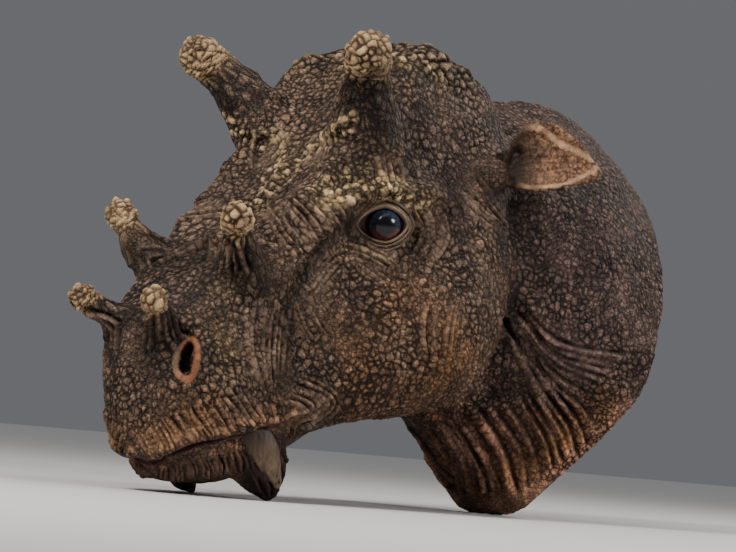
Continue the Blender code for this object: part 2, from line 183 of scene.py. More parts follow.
# Strokes on the animal's left side: (half width, height, points), in millimetres and the picture's pixels.
# A height above nought raises a ridge. A fold has a ridge and, beside it, a trough.
GROOVES = [
    (6.0, -4.5, [(350, 221), (332, 236), (312, 255), (299, 280), (292, 308), (288, 335), (286, 352)]),
    (3.2, -5.0, [(146, 463), (163, 460), (193, 447), (222, 441), (244, 435), (266, 428), (279, 425)]),
    (4.0, -3.2, [(296, 436), (306, 428), (322, 416), (330, 412)]),
    (5.0, -3.5, [(262, 376), (268, 396), (276, 414)]),
    (4.0, -3.0, [(272, 374), (280, 396), (286, 412)]),
    (8.0, -5.0, [(456, 196), (446, 222), (432, 244), (418, 268)]),
    (7.0, -5.0, [(420, 226), (412, 246), (400, 266)]),
    (7.0, -8.0, [(508, 170), (513, 161), (521, 151)]),
    (6.0, -5.0, [(508, 296), (540, 342), (556, 372), (575, 396)]),
    (6.0, -5.0, [(500, 318), (530, 352), (548, 384), (560, 408)]),
    (7.0, -6.0, [(446, 418), (462, 440), (478, 462), (498, 496), (510, 514)]),
    (7.0, -6.0, [(456, 410), (476, 434), (494, 460), (508, 488)]),
    (6.0, -5.0, [(424, 424), (440, 448), (452, 474), (458, 500)]),
    (4.0, -3.0, [(300, 155), (284, 178), (268, 200), (262, 222)]),
    (5.0, -3.0, [(376, 128), (372, 150), (366, 172)]),
]
RIDGES = [
    (9.0, 5.0, [(350, 112), (334, 130), (312, 146), (296, 160), (276, 182), (262, 205)]),
    (4.5, 2.2, [(356, 243), (372, 250), (386, 258), (398, 268)]),
    (7.0, 4.0, [(318, 192), (336, 190), (352, 192), (372, 190), (396, 188), (414, 194), (430, 202)]),
    (4.0, 2.4, [(150, 457), (193, 441), (222, 434), (244, 428), (266, 420)]),
    (4.0, 3.0, [(150, 469), (178, 463), (212, 457), (240, 453)]),
    (4.0, 3.0, [(258, 380), (266, 400), (273, 417)]),
    (4.0, 3.0, [(268, 377), (277, 398), (283, 413)]),
    (4.5, 3.5, [(462, 400), (480, 424), (500, 456), (516, 496)]),
    (4.0, 3.5, [(430, 420), (446, 438), (462, 462), (470, 496)]),
    (4.5, 3.0, [(507, 300), (543, 346), (575, 387), (606, 402), (625, 417)]),
    (4.0, 3.0, [(522, 297), (542, 322), (565, 355)]),
    (4.0, 3.0, [(500, 308), (538, 352), (566, 388)]),
    (4.0, 3.0, [(487, 377), (500, 394), (512, 416)]),
    (5.0, 3.0, [(487, 163), (500, 150), (514, 134), (532, 123), (545, 126)]),
    (4.0, 2.5, [(497, 179), (520, 187), (541, 188), (568, 186), (596, 173), (599, 166)]),
    (3.5, 3.0, [(244, 452), (252, 466), (262, 480), (274, 490)]),
    (3.5, 3.0, [(274, 442), (279, 458), (281, 474), (281, 488)]),
]

# Families of fine folds: (first guide, last guide, folds, half width, height), in the same units.
FAMILIES = [
    ([(262, 206), (282, 234), (302, 262)], [(326, 190), (344, 203), (351, 220)], 11, 2.4, 1.7),
    ([(372, 150), (377, 170), (381, 189)], [(398, 148), (403, 168), (410, 189)], 6, 2.6, 1.8),
    ([(408, 206), (421, 229), (411, 255)], [(440, 206), (450, 236), (428, 272)], 6, 2.6, 1.6),
    ([(341, 241), (366, 246), (394, 260)], [(336, 256), (362, 266), (390, 286)], 6, 2.4, 1.8),
    ([(350, 228), (328, 243), (304, 272)], [(344, 266), (326, 284), (312, 306)], 7, 2.2, 1.1),
    ([(246, 296), (247, 345), (262, 396)], [(290, 300), (284, 350), (280, 396)], 9, 2.2, 1.3),
    ([(290, 300), (300, 330), (312, 348)], [(308, 292), (320, 320), (334, 340)], 4, 2.4, 1.2),
    ([(289, 372), (318, 384), (341, 399), (330, 415), (303, 428), (290, 456)],
     [(286, 400), (297, 402), (306, 407), (299, 412), (288, 419), (283, 428)], 6, 3.0, 2.6),
    ([(136, 430), (144, 444), (150, 458)], [(242, 384), (256, 404), (270, 424)], 26, 2.1, 1.7),
    ([(158, 466), (157, 474), (160, 482)], [(240, 449), (246, 460), (246, 472)], 19, 2.1, 2.2),
    ([(244, 455), (256, 482), (265, 500)], [(286, 444), (288, 470), (282, 496)], 12, 2.0, 2.6),
    ([(146, 312), (147, 336), (142, 362)], [(174, 312), (180, 334), (190, 338)], 6, 3.0, 2.6),
    ([(208, 238), (211, 256), (206, 274)], [(248, 238), (252, 256), (262, 276)], 8, 3.0, 2.6),
    ([(470, 166), (490, 196), (508, 228)], [(452, 188), (472, 214), (506, 236)], 8, 2.4, 1.6),
    ([(506, 156), (532, 142), (552, 150)], [(504, 176), (540, 180), (584, 170)], 7, 2.0, 0.8),
    ([(512, 300), (560, 345), (640, 360)], [(500, 330), (540, 400), (560, 450)], 12, 4.0, 2.4),
    ([(424, 422), (450, 462), (466, 500)], [(480, 400), (512, 450), (524, 500)], 9, 4.2, 2.7),
    ([(500, 396), (528, 440), (540, 484)], [(560, 384), (588, 420), (596, 448)], 7, 4.2, 2.4),
    ([(430, 300), (424, 330), (428, 362)], [(462, 300), (454, 334), (452, 362)], 4, 2.6, 1.4),
    ([(262, 130), (254, 145), (250, 170)], [(300, 125), (286, 146), (262, 176)], 4, 2.6, 1.2),
]

# Broad strokes of painted shade (factor below 1) and painted light (above 1): (half width in millimetres,
# factor on the colour, pixels).
PAINTED_SHADE_AND_LIGHT = [
    (16.0, 0.50, [(352, 222), (334, 236), (314, 256), (300, 282), (292, 312), (288, 345), (287, 372)]),
    (12.0, 0.55, [(346, 216), (356, 244), (380, 268), (410, 256), (424, 228)]),
    (15.0, 0.32, [(498, 194), (508, 208), (514, 226)]),
    (9.0, 0.22, [(507, 170), (512, 161), (519, 151)]),
    (15.0, 0.55, [(516, 176), (526, 164), (538, 150)]),
    (13.0, 0.50, [(484, 172), (486, 200), (502, 240), (510, 290), (506, 340)]),
    (13.0, 0.40, [(350, 78), (352, 96), (346, 112)]),
    (15.0, 0.50, [(370, 80), (372, 104), (378, 124)]),
    (16.0, 0.55, [(206, 246), (216, 272), (244, 280), (262, 268)]),
    (14.0, 0.50, [(142, 318), (146, 344), (150, 366)]),
    (12.0, 0.60, [(168, 312), (178, 330)]),
    (18.0, 0.62, [(120, 262), (150, 266), (182, 268), (200, 262)]),
    (14.0, 0.62, [(272, 372), (278, 400), (286, 424), (320, 424), (342, 410)]),
    (14.0, 0.60, [(360, 430), (400, 446), (430, 436), (470, 418), (500, 386)]),
    (12.0, 0.60, [(116, 400), (124, 430), (132, 444)]),
    (12.0, 0.62, [(412, 150), (404, 168), (416, 182)]),
    (20.0, 1.30, [(392, 300), (398, 330), (406, 356)]),
    (22.0, 1.30, [(452, 330), (470, 360), (474, 384)]),
    (20.0, 1.05, [(150, 432), (184, 430), (220, 420), (246, 408)]),
    (9.0, 1.20, [(366, 246), (382, 254), (394, 262)]),
    (14.0, 1.25, [(232, 232), (250, 206), (262, 180), (272, 152)]),
    (14.0, 1.25, [(300, 250), (330, 222), (344, 206)]),
    (22.0, 0.85, [(408, 76), (436, 96), (458, 126)]),
    (16.0, 1.30, [(330, 198), (360, 192), (396, 194), (426, 204)]),
    (17.0, 2.0, [(470, 404), (492, 440), (512, 482)]),
    (20.0, 2.1, [(420, 436), (440, 470), (462, 500)]),
    (18.0, 1.7, [(530, 496), (560, 470), (590, 440), (620, 408)]),
    (26.0, 1.25, [(510, 400), (540, 430), (560, 450)]),
    (26.0, 1.9, [(446, 500), (480, 510), (520, 500), (556, 474), (590, 444), (622, 412)]),
]

# Broad patches of colour: (half width in millimetres, colour, pixels).
TINTS = [
    (26.0, OLIVE, [(214, 292), (224, 318), (226, 356)]),
    (20.0, OLIVE, [(240, 210), (262, 176), (280, 140)]),
    (18.0, OLIVE, [(330, 198), (360, 190), (400, 188)]),
    (18.0, OLIVE, [(392, 60), (430, 66)]),
    (34.0, ORANGE, [(410, 292), (446, 322), (470, 350)]),
    (26.0, ORANGE, [(340, 330), (370, 372), (420, 404)]),
    (24.0, ORANGE, [(136, 436), (176, 424), (214, 408)]),
    (30.0, MAUVE, [(420, 120), (446, 160), (462, 220)]),
    (60.0, MAUVE, [(560, 240), (600, 300), (580, 360)]),
    (30.0, MAUVE, [(150, 300), (190, 290), (236, 320)]),
    (24.0, WARM, [(512, 470), (560, 440), (604, 400)]),
]

# Rounded tubercles that stand alone: (radius in millimetres, pixel).
TUBERCLES = [
    (8.0, (351, 201)), (6.0, (277, 420)), (5.0, (132, 450)),
]
# Rows of tubercles along a ridge: (count, mean radius in millimetres, pixels).
BEAD_ROWS = [
    (17, 4.6, [(350, 114), (334, 130), (312, 147), (296, 161), (276, 183), (262, 204)]),
    (11, 3.8, [(356, 120), (338, 137), (317, 152), (300, 168), (282, 188)]),
    (13, 4.4, [(322, 194), (345, 187), (372, 186), (400, 190), (432, 204)]),
    (8, 3.8, [(336, 200), (362, 195), (390, 197), (418, 207)]),
    (7, 4.4, [(398, 56), (414, 58), (430, 66), (444, 78)]),
]

NOSTRIL_SLIT = [(191, 345), (187, 354), (185, 364), (186, 370)]
NOSTRIL_RIM = [(193, 340), (185, 344), (179, 353), (176, 363), (179, 374), (187, 379), (193, 375),
               (196, 362), (197, 349), (193, 340)]
MOUTH_LINE = GROOVES[1][2]
FLANGE_LINE = [(262, 440), (266, 470), (270, 496)]
CHEEK_GROOVE = GROOVES[0][2]
BROW_LINE = [(322, 196), (345, 186), (372, 186), (400, 190), (424, 200)]
CREST_RIDGE = RIDGES[0][2]
NECK_FOOT_EDGE = [(480, 517), (520, 508), (556, 482), (590, 452), (626, 416)]
EAR_RIM = [(490, 162), (514, 135), (532, 127), (545, 131), (558, 142), (576, 151), (592, 160), (596, 168),
           (566, 184), (541, 186), (527, 186), (510, 181), (499, 177)]
FACE_FRONT = [(300, 205), (312, 226), (316, 240)]
EYE_BAG = [(345, 244), (366, 250), (392, 264)]

# Regions along a path, in millimetres: (name, pixels, distance where it begins to fade, distance where it
# ends, gap between the points of the path in pixels).
PATH_REGIONS = [
    ("ear_edge", EAR_RIM, 1.5, 6.5, 3.0),
    ("mouth", MOUTH_LINE, 3.0, 9.0, 5.0),
    ("mouth_slit_shade", MOUTH_LINE, 1.5, 4.5, 5.0),
    ("mouth_reach", MOUTH_LINE, 18.0, 46.0, 5.0),
    ("nostril_rim", NOSTRIL_RIM, 3.0, 7.0, 2.0),
    ("nostril_hole", NOSTRIL_SLIT, 5.5, 8.5, 2.0),
    ("flange_reach", FLANGE_LINE, 26.0, 40.0, 5.0),
    ("brow", BROW_LINE, 10.0, 34.0, 5.0),
    ("crest_ridge", CREST_RIDGE, 6.0, 20.0, 5.0),
    ("groove", CHEEK_GROOVE, 4.0, 16.0, 5.0),
    ("face_front", FACE_FRONT, 14.0, 50.0, 5.0),
    ("eye_bag", EYE_BAG, 4.0, 15.0, 5.0),
    ("neck_edge", NECK_FOOT_EDGE, 16.0, 70.0, 5.0),
]

# Spacing of the scales in millimetres, over the base one: a later region goes over an earlier one.
BASE_SPACING = 9.6
SPACING = {
    "cheek": 10.2, "neck": 9.0, "forehead": 9.5, "muzzle": 8.5, "snout_top": 13.0, "stalks": 10.0,
    "groove": 8.0, "throat": 8.5, "upper_lip": 7.5, "lower_jaw": 8.0, "eye_bag": 7.0, "ear_inside": 6.0,
    "flange": 8.0, "crest_top": 16.0, "crest_ridge": 12.0, "tips": 14.5, "nostril_rim": 6.0,
}
# Height of the scales in millimetres, in the same way.
BASE_HEIGHT = 2.2
HEIGHT = {
    "cheek": 2.5, "neck": 1.9, "forehead": 2.2, "muzzle": 1.8, "snout_top": 2.8, "stalks": 2.0,
    "upper_lip": 0.7, "flange": 0.4, "eye_bag": 1.1, "lower_jaw": 0.5, "neck_edge": 0.9, "ear_inside": 0.7,
    "ear_rim": 0.2, "crest_top": 4.2, "crest_ridge": 3.4, "tips": 4.6, "nostril_rim": 0.15,
    "nostril_hole": 0.1, "cut": 0.0,
}


def linear(colour):
    """Turns an sRGB colour of 0 to 255 into linear light."""
    parts = np.asarray(colour, dtype=float) / 255.0
    return np.where(parts <= 0.04045, parts / 12.92, ((parts + 0.055) / 1.055) ** 2.4)


def laid(colour, tint, mask):
    """A colour in linear light with an sRGB tint over it, as far as the mask says."""
    return colour + (linear(tint) - colour) * mask[:, None]


def step(low, high, values):
    """Rises smoothly from 0 at low to 1 at high."""
    share = np.clip((values - low) / (high - low), 0.0, 1.0)
    return share * share * (3.0 - 2.0 * share)


class Camera:
    """The photograph's camera in the level frame, for placing strokes by pixel."""

    def __init__(self):
        level = math.cos(CAMERA_ELEVATION)
        self.back = Vector((
            math.sin(CAMERA_AZIMUTH) * level,
            -math.cos(CAMERA_AZIMUTH) * level,
            math.sin(CAMERA_ELEVATION),
        ))
        self.right = Vector((math.cos(CAMERA_AZIMUTH), math.sin(CAMERA_AZIMUTH), 0.0))
        self.up = self.back.cross(self.right)
        self.eye = Vector(CAMERA_TARGET) + self.back * CAMERA_DISTANCE
        self.focal = CAMERA_DISTANCE / MM_PER_PIXEL

    def ray(self, pixel):
        """The unit direction through a pixel."""
        across = (pixel[0] - PICTURE_CENTRE[0]) / self.focal
        down = (pixel[1] - PICTURE_CENTRE[1]) / self.focal
        return (self.right * across - self.up * down - self.back).normalized()

    def matrix(self):
        """The camera's place in the level frame."""
        matrix = Matrix.Identity(4)
        for column, axis in enumerate((self.right, self.up, self.back)):
            for row in range(3):
                matrix[row][column] = axis[row]
        for row in range(3):
            matrix[row][3] = self.eye[row]
        return matrix


CAMERA = Camera()
TO_ROW = Matrix.Translation(ROW_SHIFT) @ Matrix.Rotation(ROW_PITCH, 4, "X") @ Matrix.Scale(MM, 4)
TO_LEVEL = TO_ROW.inverted()


def moved(places, matrix):
    """Applies a matrix to an array of points."""
    turn = np.array(matrix.to_3x3())
    shift = np.array(matrix.translation)
    return places @ turn.T + shift


def add_object(name, data):
    """Puts an object with this data in the scene."""
    made = bpy.data.objects.new(name, data)
    bpy.context.scene.collection.objects.link(made)
    return made


def applied(source):
    """The mesh that an object has with its modifiers."""
    graph = bpy.context.evaluated_depsgraph_get()
    return bpy.data.meshes.new_from_object(source.evaluated_get(graph))


def level_mesh(name, node):
    """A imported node's mesh, in the level frame."""
    mesh = bpy.data.meshes.new(name)
    places = moved(points_of(node.data), TO_LEVEL)
    mesh.from_pydata(places.tolist(), [], [tuple(face.vertices) for face in node.data.polygons])
    return mesh


def add_remesh(source, size):
    """Gives an object even faces of this size."""
    remesh = source.modifiers.new("remesh", "REMESH")
    remesh.mode = "VOXEL"
    remesh.voxel_size = size


def points_of(mesh):
    """A mesh's vertices as an array."""
    flat = np.empty(len(mesh.vertices) * 3)
    mesh.vertices.foreach_get("co", flat)
    return flat.reshape(-1, 3)


def quads_of(mesh):
    """A mesh's faces as an array of four vertices each."""
    flat = np.empty(len(mesh.loops), dtype=np.int64)
    mesh.loops.foreach_get("vertex_index", flat)
    if len(flat) != 4 * len(mesh.polygons):
        raise ValueError("the remeshed hide has faces that aren't quads")
    return flat.reshape(-1, 4)


def edges_of(mesh):
    """A mesh's edges as an array of two vertices each."""
    flat = np.empty(len(mesh.edges) * 2, dtype=np.int64)
    mesh.edges.foreach_get("vertices", flat)
    return flat.reshape(-1, 2)


def quad_normals(places, quads):
    """Unit normals at the vertices, weighted by area."""
    corners = places[quads]
    across = np.cross(corners[:, 2] - corners[:, 0], corners[:, 3] - corners[:, 1])
    total = np.zeros_like(places)
    for axis in range(3):
        spread = np.repeat(across[:, axis], 4)
        total[:, axis] = np.bincount(quads.ravel(), weights=spread, minlength=len(places))
    length = np.linalg.norm(total, axis=1, keepdims=True)
    return total / np.maximum(length, 1e-12)


def neighbour_mean(values, edges):
    """The mean of each vertex's neighbours, for a column or for several."""
    count = np.bincount(edges.ravel(), minlength=len(values))
    columns = values.reshape(len(values), -1)
    mean = np.empty_like(columns)
    for k in range(columns.shape[1]):
        column = columns[:, k]
        total = np.bincount(edges[:, 0], weights=column[edges[:, 1]], minlength=len(values))
        total += np.bincount(edges[:, 1], weights=column[edges[:, 0]], minlength=len(values))
        mean[:, k] = total / np.maximum(count, 1)
    return mean.reshape(values.shape)


def smoothed(values, edges, rounds):
    """Evens values out along the mesh."""
    for _ in range(rounds):
        values = values + 0.5 * (neighbour_mean(values, edges) - values)
    return values


def without_facets(places, edges, keep):
    """Takes the CAD's facets out with shrink-free smoothing."""
    share = (1.0 - keep)[:, None]
    for _ in range(FACET_SMOOTHING):
        places = places + 0.50 * share * (neighbour_mean(places, edges) - places)
        places = places - 0.525 * share * (neighbour_mean(places, edges) - places)
    return places


def without_spikes(places, edges):
    """Pulls in the few points that stand far out from their neighbours."""
    for _ in range(3):
        out = places - neighbour_mean(places, edges)
        far = step(0.8 * SPIKE, 1.2 * SPIKE, np.linalg.norm(out, axis=1))
        places = places - out * far[:, None]
    return places


def cast(tree, pixels, gap=5.0):
    """Lays a pixel polyline on the surface that the camera sees and returns its points."""
    corners = [np.array(p, dtype=float) for p in pixels]
    found = []
    for k in range(len(corners) - 1):
        before = corners[max(k - 1, 0)]
        after = corners[min(k + 2, len(corners) - 1)]
        a, b = corners[k], corners[k + 1]
        count = max(2, int(np.linalg.norm(b - a) / gap) + 1)
        for t in np.linspace(0.0, 1.0, count, endpoint=False):
            place = 0.5 * (2 * a + (b - before) * t + (2 * before - 5 * a + 4 * b - after) * t * t
                           + (3 * a - before - 3 * b + after) * t ** 3)
            found.append(place)
    found.append(corners[-1])
    hits = []
    for place in found:
        hit = tree.ray_cast(CAMERA.eye, CAMERA.ray(place))[0]
        if hit is not None:
            hits.append(np.array(hit))
    return np.array(hits)


def both_sides(path):
    """A path and its mirror image."""
    return [path * mirror for mirror in SIDES.values()]


def path_distance(places, normals, path, reach):
    """Where places lie beside a path: indices, distance along the surface, side and share along it."""
    low = path.min(axis=0) - reach
    high = path.max(axis=0) + reach
    near = np.flatnonzero(np.all((places > low) & (places < high), axis=1))
    if len(near) == 0:
        return near, np.empty(0), np.empty(0), np.empty(0)
    spots = places[near]
    facing = normals[near]
    lengths = np.linalg.norm(np.diff(path, axis=0), axis=1)
    total = max(lengths.sum(), 1e-9)
    best = np.full(len(near), 1e9)
    side = np.zeros(len(near))
    share = np.zeros(len(near))
    start = 0.0
    for a, b, length in zip(path[:-1], path[1:], lengths):
        if length < 1e-6:
            continue
        along = (b - a) / length
        t = np.clip((spots - a) @ along, 0.0, length)
        gap = spots - (a + t[:, None] * along)
        lift = np.einsum("ij,ij->i", gap, facing)
        flat = np.sqrt(np.maximum(np.einsum("ij,ij->i", gap, gap) - lift * lift, 0.0))
        flat = flat + np.maximum(np.abs(lift) - 0.6 * reach, 0.0) * 2.0
        closer = flat < best
        best[closer] = flat[closer]
        across = np.cross(facing, along)
        side[closer] = np.sign(np.einsum("ij,ij->i", gap, across))[closer]
        share[closer] = ((start + t) / total)[closer]
        start += length
    return near, best, side, share


def stroke(lift, places, normals, path, half_width, height, folded=False, taper=0.18):
    """Adds a ridge, groove or fold along a path to the lift of each vertex."""
    if len(path) < 2:
        return
    near, gap, side, share = path_distance(places, normals, path, 3.0 * half_width + 4.0)
    if len(near) == 0:
        return
    ends = step(0.0, taper, share) * step(0.0, taper, 1.0 - share)
    shape = np.exp(-(gap / half_width) ** 2)
    if folded:
        beside = gap * side - half_width * 1.25
        shape = shape - 0.85 * np.exp(-(beside / (0.75 * half_width)) ** 2)
        shape = shape * np.clip(0.80 + 0.55 * waves(places[near], 34.0, 23), 0.15, 1.35)
    lift[near] += height * shape * ends


def between(first, last, count, rng):
    """Polylines from one guide to another, unevenly spaced and each a little bent."""
    a = np.array(first, dtype=float)
    b = np.array(last, dtype=float)
    shares = np.linspace(0.0, 1.0, count) + rng.uniform(-0.32, 0.32, count) / max(count - 1, 1)
    return [a + (b - a) * t + rng.normal(0.0, 1.1, a.shape) for t in shares]


def beads(rng):
    """Tubercles along each row, unevenly spaced and sized: (radius, pixel) each."""
    result = []
    for count, radius, pixels in BEAD_ROWS:
        corners = np.array(pixels, dtype=float)
        shares = np.linspace(0.0, len(corners) - 1.0, count)
        for share in shares:
            across = [np.interp(share, np.arange(len(corners)), corners[:, axis]) for axis in range(2)]
            pixel = np.array(across) + rng.normal(0.0, 2.2, 2)
            result.append((radius * rng.uniform(0.7, 1.3), tuple(pixel)))
    return result


def segment_gap(places, a, b):
    """Distance to a straight segment, and the share along it, for one side and its mirror image."""
    mirrored = places.copy()
    mirrored[:, 0] = np.abs(mirrored[:, 0])
    along = b - a
    length = np.linalg.norm(along)
    along = along / length
    t = (mirrored - a) @ along
    gap = mirrored - (a + np.clip(t, 0.0, length)[:, None] * along)
    return np.linalg.norm(gap, axis=1), t / length


def path_gap(places, path, far=80.0):
    """Distance in space to a path of points, for one side and its mirror image. It is cut off at far."""
    mirrored = places.copy()
    mirrored[:, 0] = np.abs(mirrored[:, 0])
    low = path.min(axis=0) - far
    high = path.max(axis=0) + far
    near = np.flatnonzero(np.all((mirrored > low) & (mirrored < high), axis=1))
    spots = mirrored[near]
    best = np.full(len(near), far * far)
    for a, b in zip(path[:-1], path[1:]):
        along = b - a
        square = max(along @ along, 1e-9)
        t = np.clip((spots - a) @ along / square, 0.0, 1.0)
        gap = spots - (a + t[:, None] * along)
        best = np.minimum(best, np.einsum("ij,ij->i", gap, gap))
    result = np.full(len(places), far)
    result[near] = np.sqrt(best)
    return result


def waves(places, size, seed):
    """A smooth random field from -1 to 1 whose patches are about size across."""
    rng = np.random.default_rng(SEED + seed)
    total = np.zeros(len(places))
    for _ in range(9):
        direction = rng.normal(size=3)
        direction *= math.tau / size / np.linalg.norm(direction) * rng.uniform(0.5, 1.1)
        total += np.sin(places @ direction + rng.uniform(0.0, math.tau))
    return total / 4.5


def eye_axes():
    """The way the left eye looks, and two axes across it: to the rear and up."""
    out = np.array((math.sin(EYE_AZIMUTH), -math.cos(EYE_AZIMUTH), 0.0))
    up = np.array((0.0, 0.0, 1.0))
    return out, np.cross(up, out), up


def opening_edge(turn):
    """The eye opening's half width in the direction turn: an almond, drawn out at its two corners."""
    rear = step(-0.3, 0.3, np.cos(turn))
    half_width = EYE_HALF_WIDTH_FRONT + (EYE_HALF_WIDTH_REAR - EYE_HALF_WIDTH_FRONT) * rear
    along = np.abs(np.cos(turn)) / half_width
    low = EYE_LOW_SHARE + (1.0 - EYE_LOW_SHARE) * step(-0.2, 0.2, np.sin(turn))
    across = np.abs(np.sin(turn)) / (EYE_HALF_HEIGHT * low)
    return (along ** EYE_CORNER + across ** EYE_CORNER) ** (-1.0 / EYE_CORNER)


def ball_height(across):
    """How far the eyeball stands out at a distance from the eye's axis."""
    return np.sqrt(np.maximum(EYE_RADIUS ** 2 - across ** 2, 0.0))


def around_eye(offsets):
    """Places near the eye: height along its axis, distance from it, turn, and distance past the opening."""
    out, rear, up = eye_axes()
    across = np.hypot(offsets @ rear, offsets @ up)
    turn = np.arctan2(offsets @ up, offsets @ rear)
    return offsets @ out, across, turn, across - opening_edge(turn)


def hump(values, middle, half_width):
    """A smooth bump of height 1."""
    return np.exp(-((values - middle) / half_width) ** 2)


def lid_rolls(past, turn):
    """The lids' rolls and creases above their base, by distance past the opening's edge."""
    above = step(-0.35, 0.45, np.sin(turn))
    upper = 4.6 * hump(past, 4.4, 3.4) - 1.8 * hump(past, 9.6, 1.3) + 2.4 * hump(past, 12.6, 2.2)
    lower = 2.6 * hump(past, 2.8, 2.0) - 1.0 * hump(past, 5.6, 0.9) + 1.8 * hump(past, 8.0, 1.6)
    lower = lower - 1.0 * hump(past, 10.4, 0.9) + 1.6 * hump(past, 13.0, 1.8)
    return lower + (upper - lower) * above


def lid_height(natural, across, turn, past):
    """The height of the lids along the eye's axis. It meets the natural hide at LID_REACH past the edge."""
    edge = ball_height(np.minimum(opening_edge(turn), 23.0)) + 0.6
    base = edge + (natural - edge) * step(0.0, LID_REACH, past)
    lids = base + lid_rolls(past, turn) * step(-0.6, 1.6, past)
    inside = np.maximum(ball_height(across) - 2.5, EYE_CORNER_FLOOR)
    return inside + (lids - inside) * step(-1.6, 0.6, past)


def open_eyes(places, normals):
    """Draws the hide round each eyeball into lids. Inside the opening it goes behind the eyeball."""
    sides = np.where(places[:, 0] < 0.0, -1.0, 1.0)
    mirror = np.stack([sides, np.ones(len(sides)), np.ones(len(sides))], axis=1)
    offsets = places * mirror - EYE_CENTRE
    out = eye_axes()[0]
    facing = (normals * mirror) @ out
    close = np.linalg.norm(offsets, axis=1) < 75.0
    near = np.flatnonzero(close & (offsets @ out > -6.0) & (facing > -0.3))
    height, across, turn, past = around_eye(offsets[near])
    mine = 1.0 - step(0.5 * LID_REACH, LID_REACH, past)
    target = lid_height(height, across, turn, past)
    # Under the separate lid pieces the hide keeps a little below them.
    target = target - LID_UNDER * (1.0 - step(LID_WIDTH - 4.0, LID_WIDTH + 1.0, past))
    shifted = offsets[near] + out * ((target - height) * mine)[:, None]
    places[near] = (EYE_CENTRE + shifted) * mirror[near]
    lid = np.zeros(len(places))
    lid[near] = 1.0 - step(0.7 * LID_WIDTH, 1.3 * LID_WIDTH, past)
    # The margin is where painted shade goes on the hide, along the opening where the lids meet the eyeball.
    margin = np.zeros(len(places))
    margin[near] = 1.0 - step(0.4, 2.2, past)
    return lid, margin


def make_lids(hide, material):
    """Finely modelled eyelids over each eyeball, which run out under the hide."""
    out, rear, up = eye_axes()
    tree = hide.tree()
    spokes = 200
    rows = 40
    turns = np.linspace(0.0, math.tau, spokes, endpoint=False)
    gaps = -7.0 + (LID_WIDTH + 9.0) * np.linspace(0.0, 1.0, rows) ** 0.9
    turn, past = (grid.ravel() for grid in np.meshgrid(turns, gaps, indexing="ij"))
    across = opening_edge(turn) + past
    flat = EYE_CENTRE + across[:, None] * (np.cos(turn)[:, None] * rear + np.sin(turn)[:, None] * up)
    natural = np.empty(len(flat))
    for k, spot in enumerate(flat):
        hit = tree.ray_cast(Vector((spot + out * 90.0).tolist()), Vector((-out).tolist()))[0]
        natural[k] = (np.array(hit) - EYE_CENTRE) @ out if hit is not None else 0.0
    height = lid_height(natural, across, turn, past)
    under = step(LID_WIDTH - 5.0, LID_WIDTH, past)
    height = height + (natural - height) * under
    height = height - LID_UNDER * step(LID_WIDTH - 3.0, LID_WIDTH + 2.0, past)
    above = step(-0.35, 0.45, np.sin(turn))
    drift = 1.1 * np.sin(3.0 * turn + 0.6) + 0.7 * np.sin(7.0 * turn + 2.0)
    lines = np.sin((past + drift) * (2.1 - 0.5 * above)) * (0.42 - 0.18 * above)
    pleats = 0.28 * np.sin(turn * 46.0 + 1.3 * past) * step(-0.2, 0.5, np.cos(turn) ** 2 - 0.3)
    fine = (lines + pleats) * step(0.8, 4.0, past) * (1.0 - under)
    places = flat + out * (height + fine)[:, None]
    index = np.arange(spokes * rows).reshape(spokes, rows)
    after = np.roll(index, -1, axis=0)
    quads = np.stack([index[:, :-1], after[:, :-1], after[:, 1:], index[:, 1:]], axis=-1).reshape(-1, 4)
    rolls = lid_rolls(past, turn)
    # Painted light on the lids' raised lines and rolls and painted shade on their low ones; the next line
    # adds random tone.
    tone = np.clip(0.9 + 1.0 * fine + 0.17 * (rolls - 1.5), 0.30, 1.8)
    tone = tone * (1.0 + 0.25 * waves(places, 16.0, 61))
    colour = linear(LID) * tone[:, None]
    # Painted shade in the creases, and along the opening's edge where the lids meet the eyeball.
    crease_shade = step(0.6, -1.2, rolls) * step(3.0, 6.0, past)
    colour = laid(colour, LID_CREASE_SHADE, 0.8 * crease_shade)
    colour = laid(colour, LID_MARGIN_SHADE, 1.0 - step(0.3, 1.9, past))
    corner = step(21.0, 24.0, across) * (1.0 - step(-1.5, 0.5, past))
    colour = laid(colour, EYE_CORNER_PINK, corner)
    for side, mirror in SIDES.items():
        faces = quads if side == "left" else quads[:, ::-1]
        mirrored = places * mirror
        normals = quad_normals(mirrored, faces)
        paint = np.concatenate([np.clip(colour, 0.0, 1.0), (0.5 * step(2.0, 9.0, past))[:, None]], axis=1)
        finish_piece(f"{side}_eyelids", mirrored, faces.tolist(), normals, paint, material, ())


class Hide:
    """The whole hide as arrays, first coarse for the forms and then fine for the scales."""

    def __init__(self, node):
        source = level_mesh("hide_source", node)
        # A ball in each eye socket lets the hide run over the eye, where the lids are drawn from it.
        work = bmesh.new()
        work.from_mesh(source)
        for mirror in SIDES.values():
            place = Matrix.Translation(EYE_CENTRE * mirror)
            bmesh.ops.create_icosphere(work, subdivisions=4, radius=EYE_RADIUS + 1.5, matrix=place)
        work.to_mesh(source)
        work.free()
        self.object = add_object("hide_source", source)
        add_remesh(self.object, VOXEL)
        self.bake()

    def bake(self):
        """Applies the object's modifiers and reads its mesh again."""
        mesh = applied(self.object)
        self.object.modifiers.clear()
        old = self.object.data
        self.object.data = mesh
        bpy.data.meshes.remove(old)
        self.places = points_of(mesh)
        self.quads = quads_of(mesh)
        self.edges = edges_of(mesh)
        self.normals = quad_normals(self.places, self.quads)

    def write(self):
        """Puts the moved points back in the mesh."""
        self.object.data.vertices.foreach_set("co", self.places.ravel())
        self.object.data.update()
        self.normals = quad_normals(self.places, self.quads)

    def tree(self):
        """A search tree over the faces."""
        return BVHTree.FromPolygons(self.places.tolist(), self.quads.tolist())

    def finer(self):
        """Splits every face in four, smoothly."""
        surf = self.object.modifiers.new("surf", "SUBSURF")
        surf.levels = 1
        surf.render_levels = 1
        surf.boundary_smooth = "ALL"
        self.bake()


